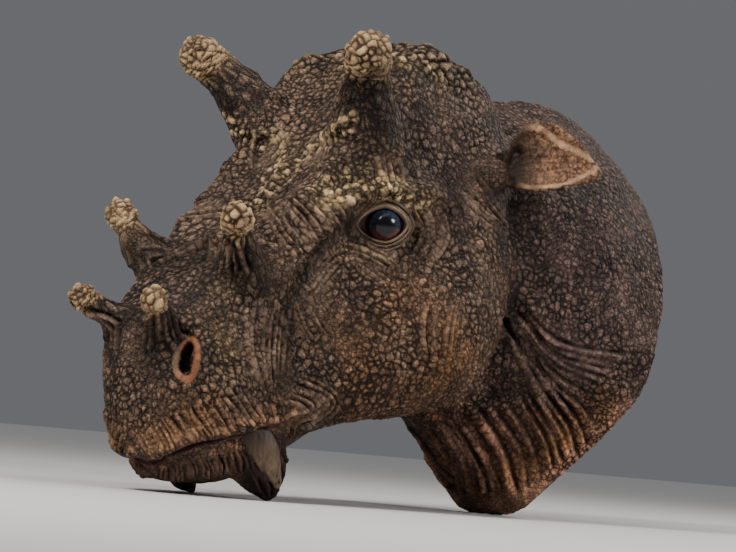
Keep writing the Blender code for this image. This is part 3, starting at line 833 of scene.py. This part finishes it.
def cut_keep(places):
    """1 on the neck's flat cut, so that it stays flat, and 0 elsewhere."""
    along = (CUT_TOP - CUT_FOOT) / np.linalg.norm(CUT_TOP - CUT_FOOT)
    out = np.array((along[1], -along[0]))
    height = (places[:, 1:] - CUT_FOOT) @ out
    return step(-3.0, -0.8, height)


def coarse_forms(hide, tree):
    """Folds, lids, lips and the nostril, pressed into the coarse hide."""
    lift = np.zeros(len(hide.places))
    for half_width, height, pixels in GROOVES + RIDGES:
        if half_width < BROAD_STROKE:
            continue
        for path in both_sides(cast(tree, pixels)):
            stroke(lift, hide.places, hide.normals, path, half_width, height)
    for path in both_sides(cast(tree, NOSTRIL_SLIT, 2.0)):
        stroke(lift, hide.places, hide.normals, path, 5.0, -12.0, taper=0.05)
    for path in both_sides(cast(tree, NOSTRIL_RIM, 2.0)):
        stroke(lift, hide.places, hide.normals, path, 4.0, 3.4, taper=0.01)
    lift *= 1.0 - cut_keep(hide.places)
    hide.places = hide.places + hide.normals * lift[:, None]
    _, share = segment_gap(hide.places, EAR_BASE, EAR_TIP)
    upper = step(476.0, 506.0, hide.places[:, 2]) * step(0.12, 0.3, share)
    upper = upper * step(150.0, 165.0, np.abs(hide.places[:, 0]))
    hide.places[:, 2] += EAR_RAISE * upper


def regions(places, normals, tree):
    """How much each vertex belongs to each region of the head, from 0 to 1."""
    side = np.abs(places[:, 0])
    depth = places[:, 1]
    height = places[:, 2]
    part = {}
    tips = []
    stalks = []
    for tip, root, size in HORNS:
        gap, share = segment_gap(places, root, tip)
        tips.append(step(0.56, 0.90, share) * (1.0 - step(size * 1.15, size * 1.6, gap)))
        along = step(-0.5, 0.1, share) * (1.0 - step(0.75, 1.0, share))
        stalks.append(along * (1.0 - step(size * 1.1, size * 2.0, gap)))
    part["tips"] = np.maximum.reduce(tips)
    part["stalks"] = np.maximum.reduce(stalks)
    part["each_stalk"] = stalks
    ear_gap, ear_share = segment_gap(places, EAR_BASE, EAR_TIP)
    ear_gap = ear_gap - 14.0 * step(488.0, 504.0, height)
    part["ear"] = step(0.02, 0.22, ear_share) * (1.0 - step(52.0, 64.0, ear_gap)) * step(118.0, 140.0, side)
    # Faces turned up count as the ear's inside too, so its paler inside colour is also painted light on the
    # ear's upward faces.
    inward = normals[:, 1] * -0.70 + np.sign(places[:, 0]) * normals[:, 0] * 0.62 + normals[:, 2] * 0.35
    part["ear_inside"] = part["ear"] * step(-0.25, 0.25, inward)
    # Where painted shade darkens the hollow at the ear's base.
    part["ear_deep"] = part["ear_inside"] * step(0.52, 0.16, ear_share)
    for name, pixels, near, far, gap in PATH_REGIONS:
        part[name] = 1.0 - step(near, far, path_gap(places, cast(tree, pixels, gap)))
    part["ear_rim"] = part["ear_edge"] * part["ear"] * (0.35 + 0.65 * step(0.05, 0.30, ear_share))
    part["upper_lip"] = part["mouth_reach"] * step(-0.4, 0.2, normals[:, 2] + 0.3)
    part["flange"] = part["flange_reach"] * step(150.0, 132.0, height)
    part["nostril_low"] = np.maximum(step(-402.0, -390.0, depth), step(226.0, 208.0, height))
    part["lower_jaw"] = step(128.0, 112.0, height + (depth + 330.0) * -0.15) * step(-190.0, -235.0, depth)
    part["neck"] = step(70.0, 150.0, depth + (height - 300.0) * 0.1)
    part["throat"] = step(175.0, 120.0, height) * step(-190.0, -120.0, depth)
    part["muzzle"] = step(-190.0, -270.0, depth) * step(330.0, 260.0, height)
    upward = step(0.25, 0.6, normals[:, 2])
    part["snout_top"] = step(-180.0, -240.0, depth) * upward * step(180.0, 230.0, height)
    part["forehead"] = step(380.0, 440.0, height) * step(60.0, 0.0, depth)
    part["crest_top"] = step(560.0, 600.0, height) * step(-60.0, 0.0, depth)
    part["cheek"] = (1.0 - part["neck"]) * step(-200.0, -140.0, depth) * step(400.0, 340.0, height)
    part["cut"] = cut_keep(places)

    def patch(half_width, pixels):
        """A broad soft stroke of height 1."""
        return hump(path_gap(places, cast(tree, pixels, 12.0), 3.0 * half_width), 0.0, half_width)

    # The broad strokes of painted shade and painted light, multiplied into one factor on the colour.
    part["shade"] = np.ones(len(places))
    for half_width, factor, pixels in PAINTED_SHADE_AND_LIGHT:
        part["shade"] *= 1.0 + (factor - 1.0) * patch(half_width, pixels)
    part["tints"] = [patch(half_width, pixels) for half_width, _, pixels in TINTS]
    return part


def blend(base, *pairs):
    """Lays values over a base one after the other, each by its mask."""
    result = np.broadcast_to(np.asarray(base, dtype=float), pairs[0][1].shape + np.shape(base)).copy()
    for value, mask in pairs:
        weight = mask if result.ndim == 1 else mask[:, None]
        result += (np.asarray(value, dtype=float) - result) * weight
    return result


def painted(base, *pairs):
    """Lays sRGB colours over a base one, each by its mask, in linear light."""
    return blend(linear(base), *((linear(colour), mask) for colour, mask in pairs))


def squeezed(places, part):
    """Points for measuring scales: shortened along the way in which the scales are drawn out."""
    result = places.copy()
    mirror = np.ones_like(places)
    mirror[:, 0] = np.sign(places[:, 0])
    stretched = [
        (mask, root, tip - root, keep)
        for mask, (tip, root, _), keep in zip(part["each_stalk"], HORNS, STALK_STRETCH)
    ]
    stretched += [
        (part["upper_lip"], (84.0, -330.0, 150.0), (0.40, 0.45, -0.80), 0.55),
        (part["face_front"], (100.0, -190.0, 380.0), (0.47, 0.47, -0.75), 0.55),
        (part["groove"], (100.0, -200.0, 300.0), (0.1, 0.1, -0.98), 0.60),
        (part["flange"], (90.0, -270.0, 90.0), (0.0, 0.3, -0.95), 0.40),
    ]
    for mask, centre, direction, keep in stretched:
        along = np.array(direction, dtype=float)
        along = along / np.linalg.norm(along) * mirror
        amount = np.einsum("ij,ij->i", places - np.array(centre) * mirror, along) * (1.0 - keep) * mask
        result -= along * amount[:, None]
    return result


def wobble(places):
    """Small random shifts that make the edges between the scales wander."""
    shift = np.empty_like(places)
    for axis in range(3):
        shift[:, axis] = 1.5 * waves(places, 19.0, 40 + axis) + 0.8 * waves(places, 9.0, 50 + axis)
    return shift


def seed_tree(seeds):
    """A search tree over the scales' middles."""
    tree = KDTree(len(seeds))
    for k, seed in enumerate(seeds.tolist()):
        tree.insert(seed, k)
    tree.balance()
    return tree


def scale_seeds(spots, size, rng):
    """Picks the scales' middles so that their spacing follows size, then evens them out."""
    area = VOXEL * VOXEL
    weight = 1.0 / (size * size)
    count = int((area * weight / 0.74).sum())
    chosen = rng.choice(len(spots), size=count, replace=False, p=weight / weight.sum())
    seeds = spots[chosen]
    tree = seed_tree(seeds)
    owner = np.fromiter((tree.find(p)[1] for p in spots.tolist()), dtype=np.int64, count=len(spots))
    number = np.bincount(owner, minlength=len(seeds))
    middle = np.empty_like(seeds)
    for axis in range(3):
        middle[:, axis] = np.bincount(owner, weights=spots[:, axis], minlength=len(seeds))
    middle /= np.maximum(number, 1)[:, None]
    return np.where((number > 0)[:, None], middle, seeds)


def nearest_scales(points, seeds, swell):
    """Each point's own scale, and the distance to the nearest edge. Swell makes a scale larger."""
    tree = seed_tree(seeds)
    found = np.empty((len(points), NEAREST_SCALES), dtype=np.int64)
    for k, point in enumerate(points.tolist()):
        found[k] = [hit[1] for hit in tree.find_n(point, NEAREST_SCALES)]
    away = np.empty(found.shape)
    for k in range(NEAREST_SCALES):
        gap = points - seeds[found[:, k]]
        away[:, k] = np.einsum("ij,ij->i", gap, gap) - swell[found[:, k]]
    order = np.argsort(away, axis=1)
    found = np.take_along_axis(found, order, axis=1)
    away = np.take_along_axis(away, order, axis=1)
    own = seeds[found[:, 0]]
    edge = np.full(len(points), 1e9)
    for k in range(1, NEAREST_SCALES):
        other = seeds[found[:, k]]
        apart = np.maximum(np.linalg.norm(other - own, axis=1), 1e-6)
        first = np.minimum(found[:, 0], found[:, k]).astype(float)
        second = np.maximum(found[:, 0], found[:, k]).astype(float)
        chance = np.mod(np.sin(first * 12.9898 + second * 78.233) * 43758.5453, 1.0)
        strength = 0.35 + 0.8 * chance
        edge = np.minimum(edge, (away[:, k] - away[:, 0]) / (2.0 * apart * strength))
    return found[:, 0], edge


def by_region(part, base, values):
    """A measure at each vertex: its base value and, over it, each region's own."""
    return blend(base, *((value, part[name]) for name, value in values.items()))


def fine_forms(hide, tree):
    """Thin ridges, folds and tubercles: each vertex's lift, how folded it is, and the tubercles' mask."""
    lift = np.zeros(len(hide.places))
    knobs = np.zeros(len(hide.places))
    bump = np.zeros(len(hide.places))
    folded = np.zeros(len(hide.places))
    for half_width, height, pixels in GROOVES + RIDGES:
        if half_width >= BROAD_STROKE:
            continue
        for path in both_sides(cast(tree, pixels)):
            stroke(lift, hide.places, hide.normals, path, half_width, height)
    rng = np.random.default_rng(SEED + 5)
    for first, last, count, half_width, height in FAMILIES:
        for pixels in between(first, last, count, rng):
            uneven = rng.uniform(0.45, 1.35)
            for path in both_sides(cast(tree, pixels)):
                stroke(lift, hide.places, hide.normals, path, half_width, FOLD_GAIN * height * uneven, True)
                near, gap, _, share = path_distance(hide.places, hide.normals, path, 3.5 * half_width)
                ends = step(0.0, 0.3, share) * step(0.0, 0.3, 1.0 - share)
                close = (1.0 - step(0.8 * half_width, 3.5 * half_width, gap)) * ends
                folded[near] = np.maximum(folded[near], close)
    for radius, pixel in TUBERCLES + beads(rng):
        hit = tree.ray_cast(CAMERA.eye, CAMERA.ray(pixel))[0]
        if hit is None:
            continue
        for mirror in SIDES.values():
            offsets = hide.places - np.array(hit) * mirror
            near = np.flatnonzero(np.abs(offsets).max(axis=1) < 1.5 * radius)
            gap = np.linalg.norm(offsets[near], axis=1)
            gap = gap * (1.1 + 0.16 * waves(hide.places[near], 9.0, 29))
            round_top = 0.45 * radius * np.sqrt(np.maximum(1.0 - (gap / radius) ** 2, 0.0))
            bump[near] = np.maximum(bump[near], round_top)
            knobs[near] = np.maximum(knobs[near], 1.0 - step(0.72 * radius, 1.05 * radius, gap))
    lift += bump
    return lift, folded, knobs


def hide_colours(part, scale_tone, crack, lift, places):
    """The hide's colour at each vertex, in linear light. Painted shade darkens its cracks, hollows and fold
    troughs, painted light brightens its fold ridges, and broad strokes paint both.
    """
    top = painted(
        HIDE,
        (WARM, part["cheek"] * step(-0.5, 0.6, waves(places, 150.0, 3)) * 0.8),
        (NECK, part["neck"]),
        (SAND, part["neck_edge"] * 0.9),
        (WARM, part["muzzle"] * step(0.0, 0.9, waves(places, 110.0, 5)) * 0.5),
        (LIP, part["upper_lip"] * 0.75),
        (PINK, part["lower_jaw"] * 0.55),
        (THROAT, part["throat"] * 0.9),
        (FLANGE_DARK, part["flange"]),
        (STALK, part["stalks"] * 0.6),
        (SAND, part["brow"] * 0.75),
        (SAND, part["crest_ridge"] * 0.65),
        (SAND, part["crest_top"] * 0.35),
        (SAND, part["eye_bag"] * 0.4),
        # Painted highlight on the ear's upper edge and, two lines on, on its rim.
        (EAR_RIM_HIGHLIGHT, part["ear"] * step(460.0, 490.0, places[:, 2]) * 0.5),
        (EAR_INSIDE, part["ear_inside"]),
        (EAR_RIM_HIGHLIGHT, part["ear_rim"]),
        # Painted shade in the hollow at the ear's base.
        (CRACK_SHADE, part["ear_deep"] * 0.9),
        (MOUTH_PINK, part["mouth"] * 0.75),
        # Painted shade in the mouth's slit.
        (CRACK_SHADE, part["mouth_slit_shade"] * 0.85),
        (BONE, part["tips"]),
        (SAND, part["tubercle"] * 0.2),
        (RIM_TAN, part["nostril_rim"]),
        (RIM_ORANGE, part["nostril_rim"] * part["nostril_low"]),
        (LID, part["lid"] * 0.8),
        # Painted shade along the eye opening, where the lids meet the eyeball.
        (LID_MARGIN_SHADE, part["lid_margin"]),
    )
    for (_, tint, _), mask in zip(TINTS, part["tints"]):
        top = laid(top, tint, TINT_SHARE * mask * (1.0 - part["bare"]))
    # Painted shade in the cracks between the scales.
    crack_shade = painted(
        CRACK_SHADE,
        (WARM_CRACK_SHADE, np.maximum.reduce([part["ear_inside"], part["tips"], 0.35 * part["cheek"]])),
        (PALE_CRACK_SHADE, part["upper_lip"] * 0.8),
        (WARM_CRACK_SHADE, part["neck_edge"] * 0.7),
    )
    crack_shade += (linear(RIM_TAN) * 0.5 - crack_shade) * part["nostril_rim"][:, None]
    tone = 1.0 + 0.20 * scale_tone + 0.22 * waves(places, 60.0, 7)
    # The cracks take the painted crack shade and the scales' tops keep the hide's colour.
    raised = np.clip(crack, 0.0, 1.0)[:, None]
    colour = crack_shade + (top * tone[:, None] - crack_shade) * raised
    # Painted shade in the fold troughs and painted light on the fold ridges, by how far each vertex is
    # lifted.
    shade = np.clip(1.0 + 0.34 * np.minimum(lift, 0.0) + 0.17 * np.maximum(lift, 0.0), 0.16, 1.6)
    colour = colour * shade[:, None]
    # Painted shade inside the nostril's pit.
    colour = colour * (1.0 - 0.9 * part["nostril_hole"])[:, None]
    colour = laid(colour, CUT_FACE, part["cut"])
    # The broad strokes of painted shade and light. Folded areas get fewer painted pebble valleys, so they are
    # darkened a little to make up for them.
    colour = colour * (part["shade"] * (1.0 - 0.26 * part["folded"]) * OVERALL)[:, None]
    names = ("tips", "nostril_rim", "ear_rim", "tubercle", "lid", "cut")
    smooth = np.maximum.reduce([part[name] for name in names])
    fine = (1.0 - smooth) * (1.0 - 0.55 * part["ear_inside"]) * (1.0 - 0.75 * part["folded"])
    fine = np.clip(fine * (1.25 - 0.5 * part["clear"]), 0.0, 1.0)
    return np.concatenate([np.clip(colour, 0.0, 1.0), fine[:, None]], axis=1)


def new_material(name, roughness, specular):
    """A material and its shader."""
    material = bpy.data.materials.new(name)
    material.use_nodes = True
    shader = material.node_tree.nodes["Principled BSDF"]
    shader.inputs["Roughness"].default_value = roughness
    shader.inputs["Specular IOR Level"].default_value = specular
    return material, shader


def add_node(material, kind, **values):
    """Adds a node and sets its properties and sockets by name."""
    node = material.node_tree.nodes.new(kind)
    for name, value in values.items():
        if hasattr(node, name):
            setattr(node, name, value)
        else:
            node.inputs[name.replace("_", " ").title()].default_value = value
    return node


def linked(material, kind, links, **values):
    """Adds a node, joins an output to each input named in links, and returns its first output."""
    node = add_node(material, kind, **values)
    for name, output in links.items():
        material.node_tree.links.new(output, node.inputs[name])
    return node.outputs[0]


def remapped(material, value, to_min, to_max, from_min=0.0, from_max=1.0, **values):
    """A value moved from one range to another."""
    return linked(
        material, "ShaderNodeMapRange", {"Value": value}, to_min=to_min, to_max=to_max, from_min=from_min,
        from_max=from_max, **values,
    )


def vertex_paint(material):
    """The colour and the share of fine pebbles at each vertex."""
    return add_node(material, "ShaderNodeAttribute", attribute_name="paint")


def object_place(material):
    """The place on the object, in its own coordinates."""
    return add_node(material, "ShaderNodeTexCoord").outputs["Object"]


def noise(material, place, **values):
    """A noise texture's strength."""
    return linked(material, "ShaderNodeTexNoise", {"Vector": place}, **values)


def multiplied(material, *factors):
    """The product of several values."""
    result = factors[0]
    for factor in factors[1:]:
        result = linked(material, "ShaderNodeMath", {0: result, 1: factor}, operation="MULTIPLY")
    return result


def scaled(material, vector, factor):
    """A vector times a value."""
    return linked(material, "ShaderNodeVectorMath", {0: vector, "Scale": factor}, operation="SCALE")


def bumped(material, height, strength, distance, links=None, **values):
    """A normal bent by a height, on top of another normal if links gives one."""
    sockets = {"Height": height}
    sockets.update(links or {})
    return linked(material, "ShaderNodeBump", sockets, strength=strength, distance=distance, **values)


def hide_material():
    """Dry scaly hide: the vertex colour, mottled and dusted, with painted shade in fine cracks and pebble
    valleys, and fine cracks and grain in the bump.
    """
    material, shader = new_material("scaled_hide", 0.62, 0.18)
    place = object_place(material)
    paint = vertex_paint(material)
    mottle = noise(material, place, scale=55.0, detail=4.0, roughness=0.6)
    grain = noise(material, place, scale=420.0, detail=3.0, roughness=0.65)
    flakes = linked(
        material, "ShaderNodeTexVoronoi", {"Vector": place}, feature="DISTANCE_TO_EDGE", scale=260.0)
    cracks = remapped(material, flakes, 0.0, 1.0, from_max=0.12)
    # A finer network of pebbles, as strong as the paint's alpha says.
    drift = add_node(material, "ShaderNodeTexNoise", scale=95.0, detail=2.0)
    material.node_tree.links.new(place, drift.inputs["Vector"])
    shift = linked(
        material, "ShaderNodeVectorMath", {0: drift.outputs["Color"]}, operation="SCALE", scale=0.007)
    bent = linked(material, "ShaderNodeVectorMath", {0: place, 1: shift}, operation="ADD")
    pebbles = linked(
        material, "ShaderNodeTexVoronoi", {"Vector": bent}, feature="DISTANCE_TO_EDGE", scale=165.0)
    edges = remapped(material, pebbles, 1.0, 0.0, from_max=0.20, interpolation_type="SMOOTHSTEP")
    valley = multiplied(material, edges, paint.outputs["Alpha"])
    # Painted shade in the fine cracks and the pebbles' valleys and a little painted light on the pebbles'
    # tops; mottle and grain are the hide's own tone.
    tone = multiplied(
        material,
        remapped(material, mottle, 0.72, 1.28, 0.3, 0.7),
        remapped(material, grain, 0.82, 1.18, 0.3, 0.7),
        remapped(material, cracks, 0.72, 1.0),
        remapped(material, valley, 1.12, 0.40),
    )
    normal = bumped(material, cracks, 0.35, 0.0006)
    normal = bumped(material, grain, 0.4, 0.0008, {"Normal": normal})
    normal = bumped(material, valley, 0.8, 0.0016, {"Normal": normal}, invert=True)
    link = material.node_tree.links.new
    link(scaled(material, paint.outputs["Color"], tone), shader.inputs["Base Color"])
    link(remapped(material, mottle, 0.5, 0.78), shader.inputs["Roughness"])
    link(normal, shader.inputs["Normal"])
    return material


def tusk_material():
    """Worn grey-brown ivory with streaks along the blade, darker towards the root."""
    material, shader = new_material("worn_ivory", 0.55, 0.3)
    shape = linked(
        material, "ShaderNodeMapping", {"Vector": object_place(material)}, scale=(240.0, 240.0, 14.0))
    streak = noise(material, shape, scale=1.0, detail=5.0, roughness=0.6)
    ramp = add_node(material, "ShaderNodeValToRGB")
    for element, position, colour in (
        (0, 0.3, (0.42, 0.40, 0.38, 1.0)),
        (1, 0.7, (1.25, 1.25, 1.25, 1.0)),
    ):
        ramp.color_ramp.elements[element].position = position
        ramp.color_ramp.elements[element].color = colour
    link = material.node_tree.links.new
    link(streak, ramp.inputs["Fac"])
    paint = vertex_paint(material)
    tint = linked(
        material, "ShaderNodeVectorMath", {0: paint.outputs["Color"], 1: ramp.outputs["Color"]},
        operation="MULTIPLY",
    )
    link(tint, shader.inputs["Base Color"])
    link(bumped(material, streak, 0.35, 0.0006), shader.inputs["Normal"])
    return material


def eye_material(side):
    """A dark wet eye: its vertex colour with faint veins."""
    material, shader = new_material(f"{side}_wet_eye", 0.17, 0.42)
    paint = vertex_paint(material)
    veins = noise(material, object_place(material), scale=300.0, detail=4.0)
    tint = scaled(material, paint.outputs["Color"], remapped(material, veins, 0.5, 1.5))
    material.node_tree.links.new(tint, shader.inputs["Base Color"])
    return material


def finish_piece(name, places, faces, normals, paint, material, nodes):
    mesh = bpy.data.meshes.new(name)
    mesh.from_pydata(moved(places, TO_ROW).tolist(), [], faces)
    mesh.polygons.foreach_set("use_smooth", np.ones(len(faces), dtype=bool))
    attribute = mesh.color_attributes.new("paint", "FLOAT_COLOR", "POINT")
    if paint.shape[1] == 3:
        paint = np.concatenate([paint, np.zeros((len(paint), 1))], axis=1)
    attribute.data.foreach_set("color", paint.ravel())
    mesh.update()
    if normals is not None:
        turned = normals @ np.array(Matrix.Rotation(ROW_PITCH, 3, "X")).T
        mesh.normals_split_custom_set_from_vertices(turned.tolist())
    mesh.materials.append(material)
    piece = add_object(name, mesh)
    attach(piece, "root")
    if nodes:
        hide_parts(*nodes)


def split_hide(hide, colours, material):
    """Cuts the hide at level planes into pieces of equal size. Their shared normals hide the cuts."""
    names = ("hide_snout", "hide_muzzle", "hide_face", "hide_crown", "hide_neck")
    middle = hide.places[hide.quads].mean(axis=1)[:, 1]
    bounds = np.quantile(middle, np.linspace(0.0, 1.0, len(names) + 1))
    bounds[-1] += 1.0
    for k, name in enumerate(names):
        mine = hide.quads[(middle >= bounds[k]) & (middle < bounds[k + 1])]
        used, faces = np.unique(mine, return_inverse=True)
        finish_piece(
            name, hide.places[used], faces.reshape(-1, 4).tolist(), hide.normals[used], colours[used],
            material, ("head_and_neck",),
        )
        print(name, len(mine) * 2, "triangles")


def make_eyes():
    """The two eyeballs, each with a slight cornea, painted by the angle from the way it looks."""
    look, first, second = eye_axes()
    rings = 56
    spokes = 96
    theta = np.linspace(0.0, math.pi, rings + 1)[1:-1]
    phi = np.linspace(0.0, math.tau, spokes, endpoint=False)
    grid_theta, grid_phi = np.meshgrid(theta, phi, indexing="ij")
    flat_theta = np.concatenate([[0.0], grid_theta.ravel(), [math.pi]])
    flat_phi = np.concatenate([[0.0], grid_phi.ravel(), [0.0]])
    bulge = 1.2 * np.exp(-((flat_theta / 0.80) ** 4))
    radius = EYE_RADIUS - 0.3 + bulge
    away = (np.cos(flat_theta)[:, None] * look
            + (np.sin(flat_theta) * np.cos(flat_phi))[:, None] * first
            + (np.sin(flat_theta) * np.sin(flat_phi))[:, None] * second)
    places = EYE_CENTRE + away * radius[:, None]
    last = len(places) - 1
    rear = last - spokes
    faces = []
    for j in range(spokes):
        following = (j + 1) % spokes
        faces.append((0, 1 + j, 1 + following))
        faces.append((last, rear + following, rear + j))
    for start in range(1, rear, spokes):
        for j in range(spokes):
            following = (j + 1) % spokes
            faces.append((start + j, start + spokes + j, start + spokes + following, start + following))
    ring = step(0.34, 0.72, flat_theta)
    outer = step(0.80, 0.92, flat_theta)
    beyond = step(0.96, 1.08, flat_theta)
    streaks = 1.0 + 0.35 * np.sin(flat_phi * 23.0) * np.sin(flat_phi * 7.0 + 1.0)
    # The upper iris is painted with a blue sky reflection; the lower keeps the red-brown iris colour.
    height = np.sin(flat_theta) * np.sin(flat_phi)
    iris = laid(linear(EYE_SKY_REFLECTION), IRIS, step(0.05, -0.35, height))
    colour = linear(PUPIL) + (iris * streaks[:, None] - linear(PUPIL)) * ring[:, None]
    colour = laid(laid(colour, LIMBUS, outer), EYE_WHITE, beyond)
    paint = np.concatenate([colour, np.ones((len(colour), 1))], axis=1)
    for side, mirror in SIDES.items():
        turned = [face if side == "left" else face[::-1] for face in faces]
        finish_piece(
            f"{side}_eyeball", places * mirror, turned, None, paint, eye_material(side), (f"{side}_eye",),
        )


def make_tusks(nodes, material):
    """Each tusk from its CAD solid, remeshed finely and scored along its length."""
    for side, mirror in SIDES.items():
        scratch = add_object("tusk_scratch", level_mesh(f"{side}_tusk_fine", nodes[f"{side}_tusk"]))
        add_remesh(scratch, TUSK_VOXEL)
        fine = applied(scratch)
        bpy.data.objects.remove(scratch)
        places = points_of(fine)
        quads = quads_of(fine)
        edges = edges_of(fine)
        places = without_facets(places, edges, np.zeros(len(places)))
        normals = quad_normals(places, quads)
        axis = TUSK_AXIS * mirror
        axis /= np.linalg.norm(axis)
        across = places - np.outer(places @ axis, axis)
        score = waves(across, 7.0, 31) + 0.6 * waves(across, 3.4, 32)
        root = step(92.0, 150.0, places[:, 2] + 6.0 * score)
        paint = blend(linear(TUSK_BLADE), (linear(TUSK_ROOT), root))
        paint = paint * (1.0 + 0.22 * score)[:, None]
        places = places + normals * (0.35 * score)[:, None]
        normals = quad_normals(places, quads)
        finish_piece(
            f"{side}_tusk_blade", places, quads.tolist(), normals, np.clip(paint, 0.0, 1.0), material,
            (f"{side}_tusk",),
        )


def make_stage():
    """A pale studio floor, soft lights and the camera."""
    floor_mesh = bpy.data.meshes.new("floor")
    turns = [math.tau * k / FLOOR_CORNERS for k in range(FLOOR_CORNERS)]
    ring = [(FLOOR_RADIUS * math.cos(turn), FLOOR_RADIUS * math.sin(turn), 0.0) for turn in turns]
    floor_mesh.from_pydata(ring, [], [tuple(range(FLOOR_CORNERS))])
    floor = add_object("floor", floor_mesh)
    paper, shader = new_material("pale_floor", 0.85, 0.5)
    shader.inputs["Base Color"].default_value = FLOOR_COLOUR
    floor_mesh.materials.append(paper)

    world = bpy.data.worlds.new("studio")
    bpy.context.scene.world = world
    world.use_nodes = True
    background = world.node_tree.nodes["Background"]
    background.inputs["Color"].default_value = STUDIO_COLOUR
    background.inputs["Strength"].default_value = STUDIO_STRENGTH

    sun_data = bpy.data.lights.new("overhead_light", "SUN")
    sun_data.energy = SUN_ENERGY
    sun_data.angle = SUN_SPREAD
    sun = add_object("overhead_light", sun_data)
    sun.rotation_euler = (SUN_TILT, 0.0, 0.0)
    for name, place, size, energy, colour in SOFT_LIGHTS:
        data = bpy.data.lights.new(name, "AREA")
        data.shape = "DISK"
        data.size = size
        data.energy = energy
        data.color = colour
        light = add_object(name, data)
        light.location = place
        light.rotation_euler = (Vector(LIT_PLACE) - Vector(place)).to_track_quat("-Z", "Y").to_euler()

    camera_data = bpy.data.cameras.new("camera")
    camera_data.sensor_width = SENSOR_WIDTH
    camera_data.lens = SENSOR_WIDTH * CAMERA.focal / PICTURE_WIDTH
    camera_data.clip_end = 100.0
    camera = add_object("camera", camera_data)
    place, turn, _ = (TO_ROW @ CAMERA.matrix()).decompose()
    camera.matrix_world = Matrix.Translation(place) @ turn.to_matrix().to_4x4()
    bpy.context.scene.camera = camera


def shape_coarse(hide):
    """Gives the coarse hide its broad forms. Returns the scales' middles, tones and swell."""
    ear_gap = segment_gap(hide.places, EAR_BASE, EAR_TIP)[0]
    keep = np.maximum(cut_keep(hide.places), 0.88 * (1.0 - step(50.0, 70.0, ear_gap)))
    hide.places = without_facets(hide.places, hide.edges, keep)
    hide.write()
    tree = hide.tree()
    coarse_forms(hide, tree)
    hide.write()
    part = regions(hide.places, hide.normals, tree)
    rng = np.random.default_rng(SEED)
    size = by_region(part, BASE_SPACING, SPACING) * (1.0 + 0.26 * waves(hide.places, 50.0, 11))
    seeds = scale_seeds(squeezed(hide.places, part), size, rng)
    tone_of = rng.normal(size=len(seeds))
    return seeds, tone_of, SWELL * rng.normal(size=len(seeds))


def crack_tone(places, part, inner):
    """How far each vertex is out of the cracks between the scales, which are painted dark as shade, and how
    strong that painted shade is.
    """
    smooth = np.maximum.reduce([
        0.85 * part["tubercle"], part["nostril_rim"], part["ear_rim"], 0.6 * part["flange"],
        0.5 * part["lower_jaw"], 0.7 * part["mouth"], 0.8 * (part["ear"] - part["ear_inside"]),
        0.5 * part["neck_edge"],
    ])
    crack = step(0.13, 0.80 - 0.32 * part["tips"], np.maximum(inner + 0.24 * part["folded"], smooth))
    clear = 0.86 + 0.32 * waves(places, 75.0, 71) + 0.18 * waves(places, 30.0, 73)
    clear = np.clip(clear, 0.5, 1.0)
    clear = np.maximum.reduce([clear, part["crest_top"], 0.9 * part["forehead"], 0.9 * part["snout_top"]])
    return 1.0 - (1.0 - crack) * clear, clear


def shape_fine(hide, seeds, tone_of, swell):
    """Splits the hide finely and gives it scales, folds and lids. Returns its colours."""
    hide.finer()
    tree = hide.tree()
    normals = smoothed(hide.normals, hide.edges, 3)
    normals /= np.linalg.norm(normals, axis=1, keepdims=True)
    hide.normals = normals
    part = regions(hide.places, normals, tree)
    owner, edge = nearest_scales(squeezed(hide.places, part) + wobble(hide.places), seeds, swell)
    inner = np.clip(edge / (0.50 * by_region(part, BASE_SPACING, SPACING)), 0.0, 1.0)
    dome = np.sqrt(1.0 - (1.0 - inner) ** 2)
    tone = np.clip(tone_of[owner], -2.0, 2.0)
    folds, part["folded"], part["tubercle"] = fine_forms(hide, tree)
    bare = ("tips", "ear", "nostril_rim", "mouth", "lower_jaw", "flange", "tubercle")
    part["bare"] = np.maximum.reduce([part[name] for name in bare])
    folds *= 1.0 - part["cut"]
    lively = 1.08 + 0.48 * waves(hide.places, 60.0, 13)
    relief = by_region(part, BASE_HEIGHT, HEIGHT) * lively * (1.0 - 0.5 * part["folded"])
    relief = relief * (dome * (1.0 + 0.22 * tone) - SINK)
    lumps = (1.1 * waves(hide.places, 42.0, 17) + 0.7 * waves(hide.places, 24.0, 19)) * (1.0 - part["cut"])
    lift = relief + folds + lumps * (1.0 - part["nostril_rim"])
    crack, part["clear"] = crack_tone(hide.places, part, inner)
    before = hide.places.copy()
    hide.places = without_spikes(hide.places + normals * lift[:, None], hide.edges)
    part["lid"], part["lid_margin"] = open_eyes(hide.places, normals)
    hide.write()
    return hide_colours(part, tone, crack, folds, before)


def main():
    """Builds the dressed sculpture and its stage."""
    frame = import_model()
    nodes = {name: bpy.data.objects[name] for name in frame["nodes"]}

    hide = Hide(nodes["head_and_neck"])
    colours = shape_fine(hide, *shape_coarse(hide))
    skin = hide_material()
    split_hide(hide, colours, skin)
    make_lids(hide, skin)
    bpy.data.objects.remove(hide.object)

    make_eyes()
    make_tusks(nodes, tusk_material())
    make_stage()


main()
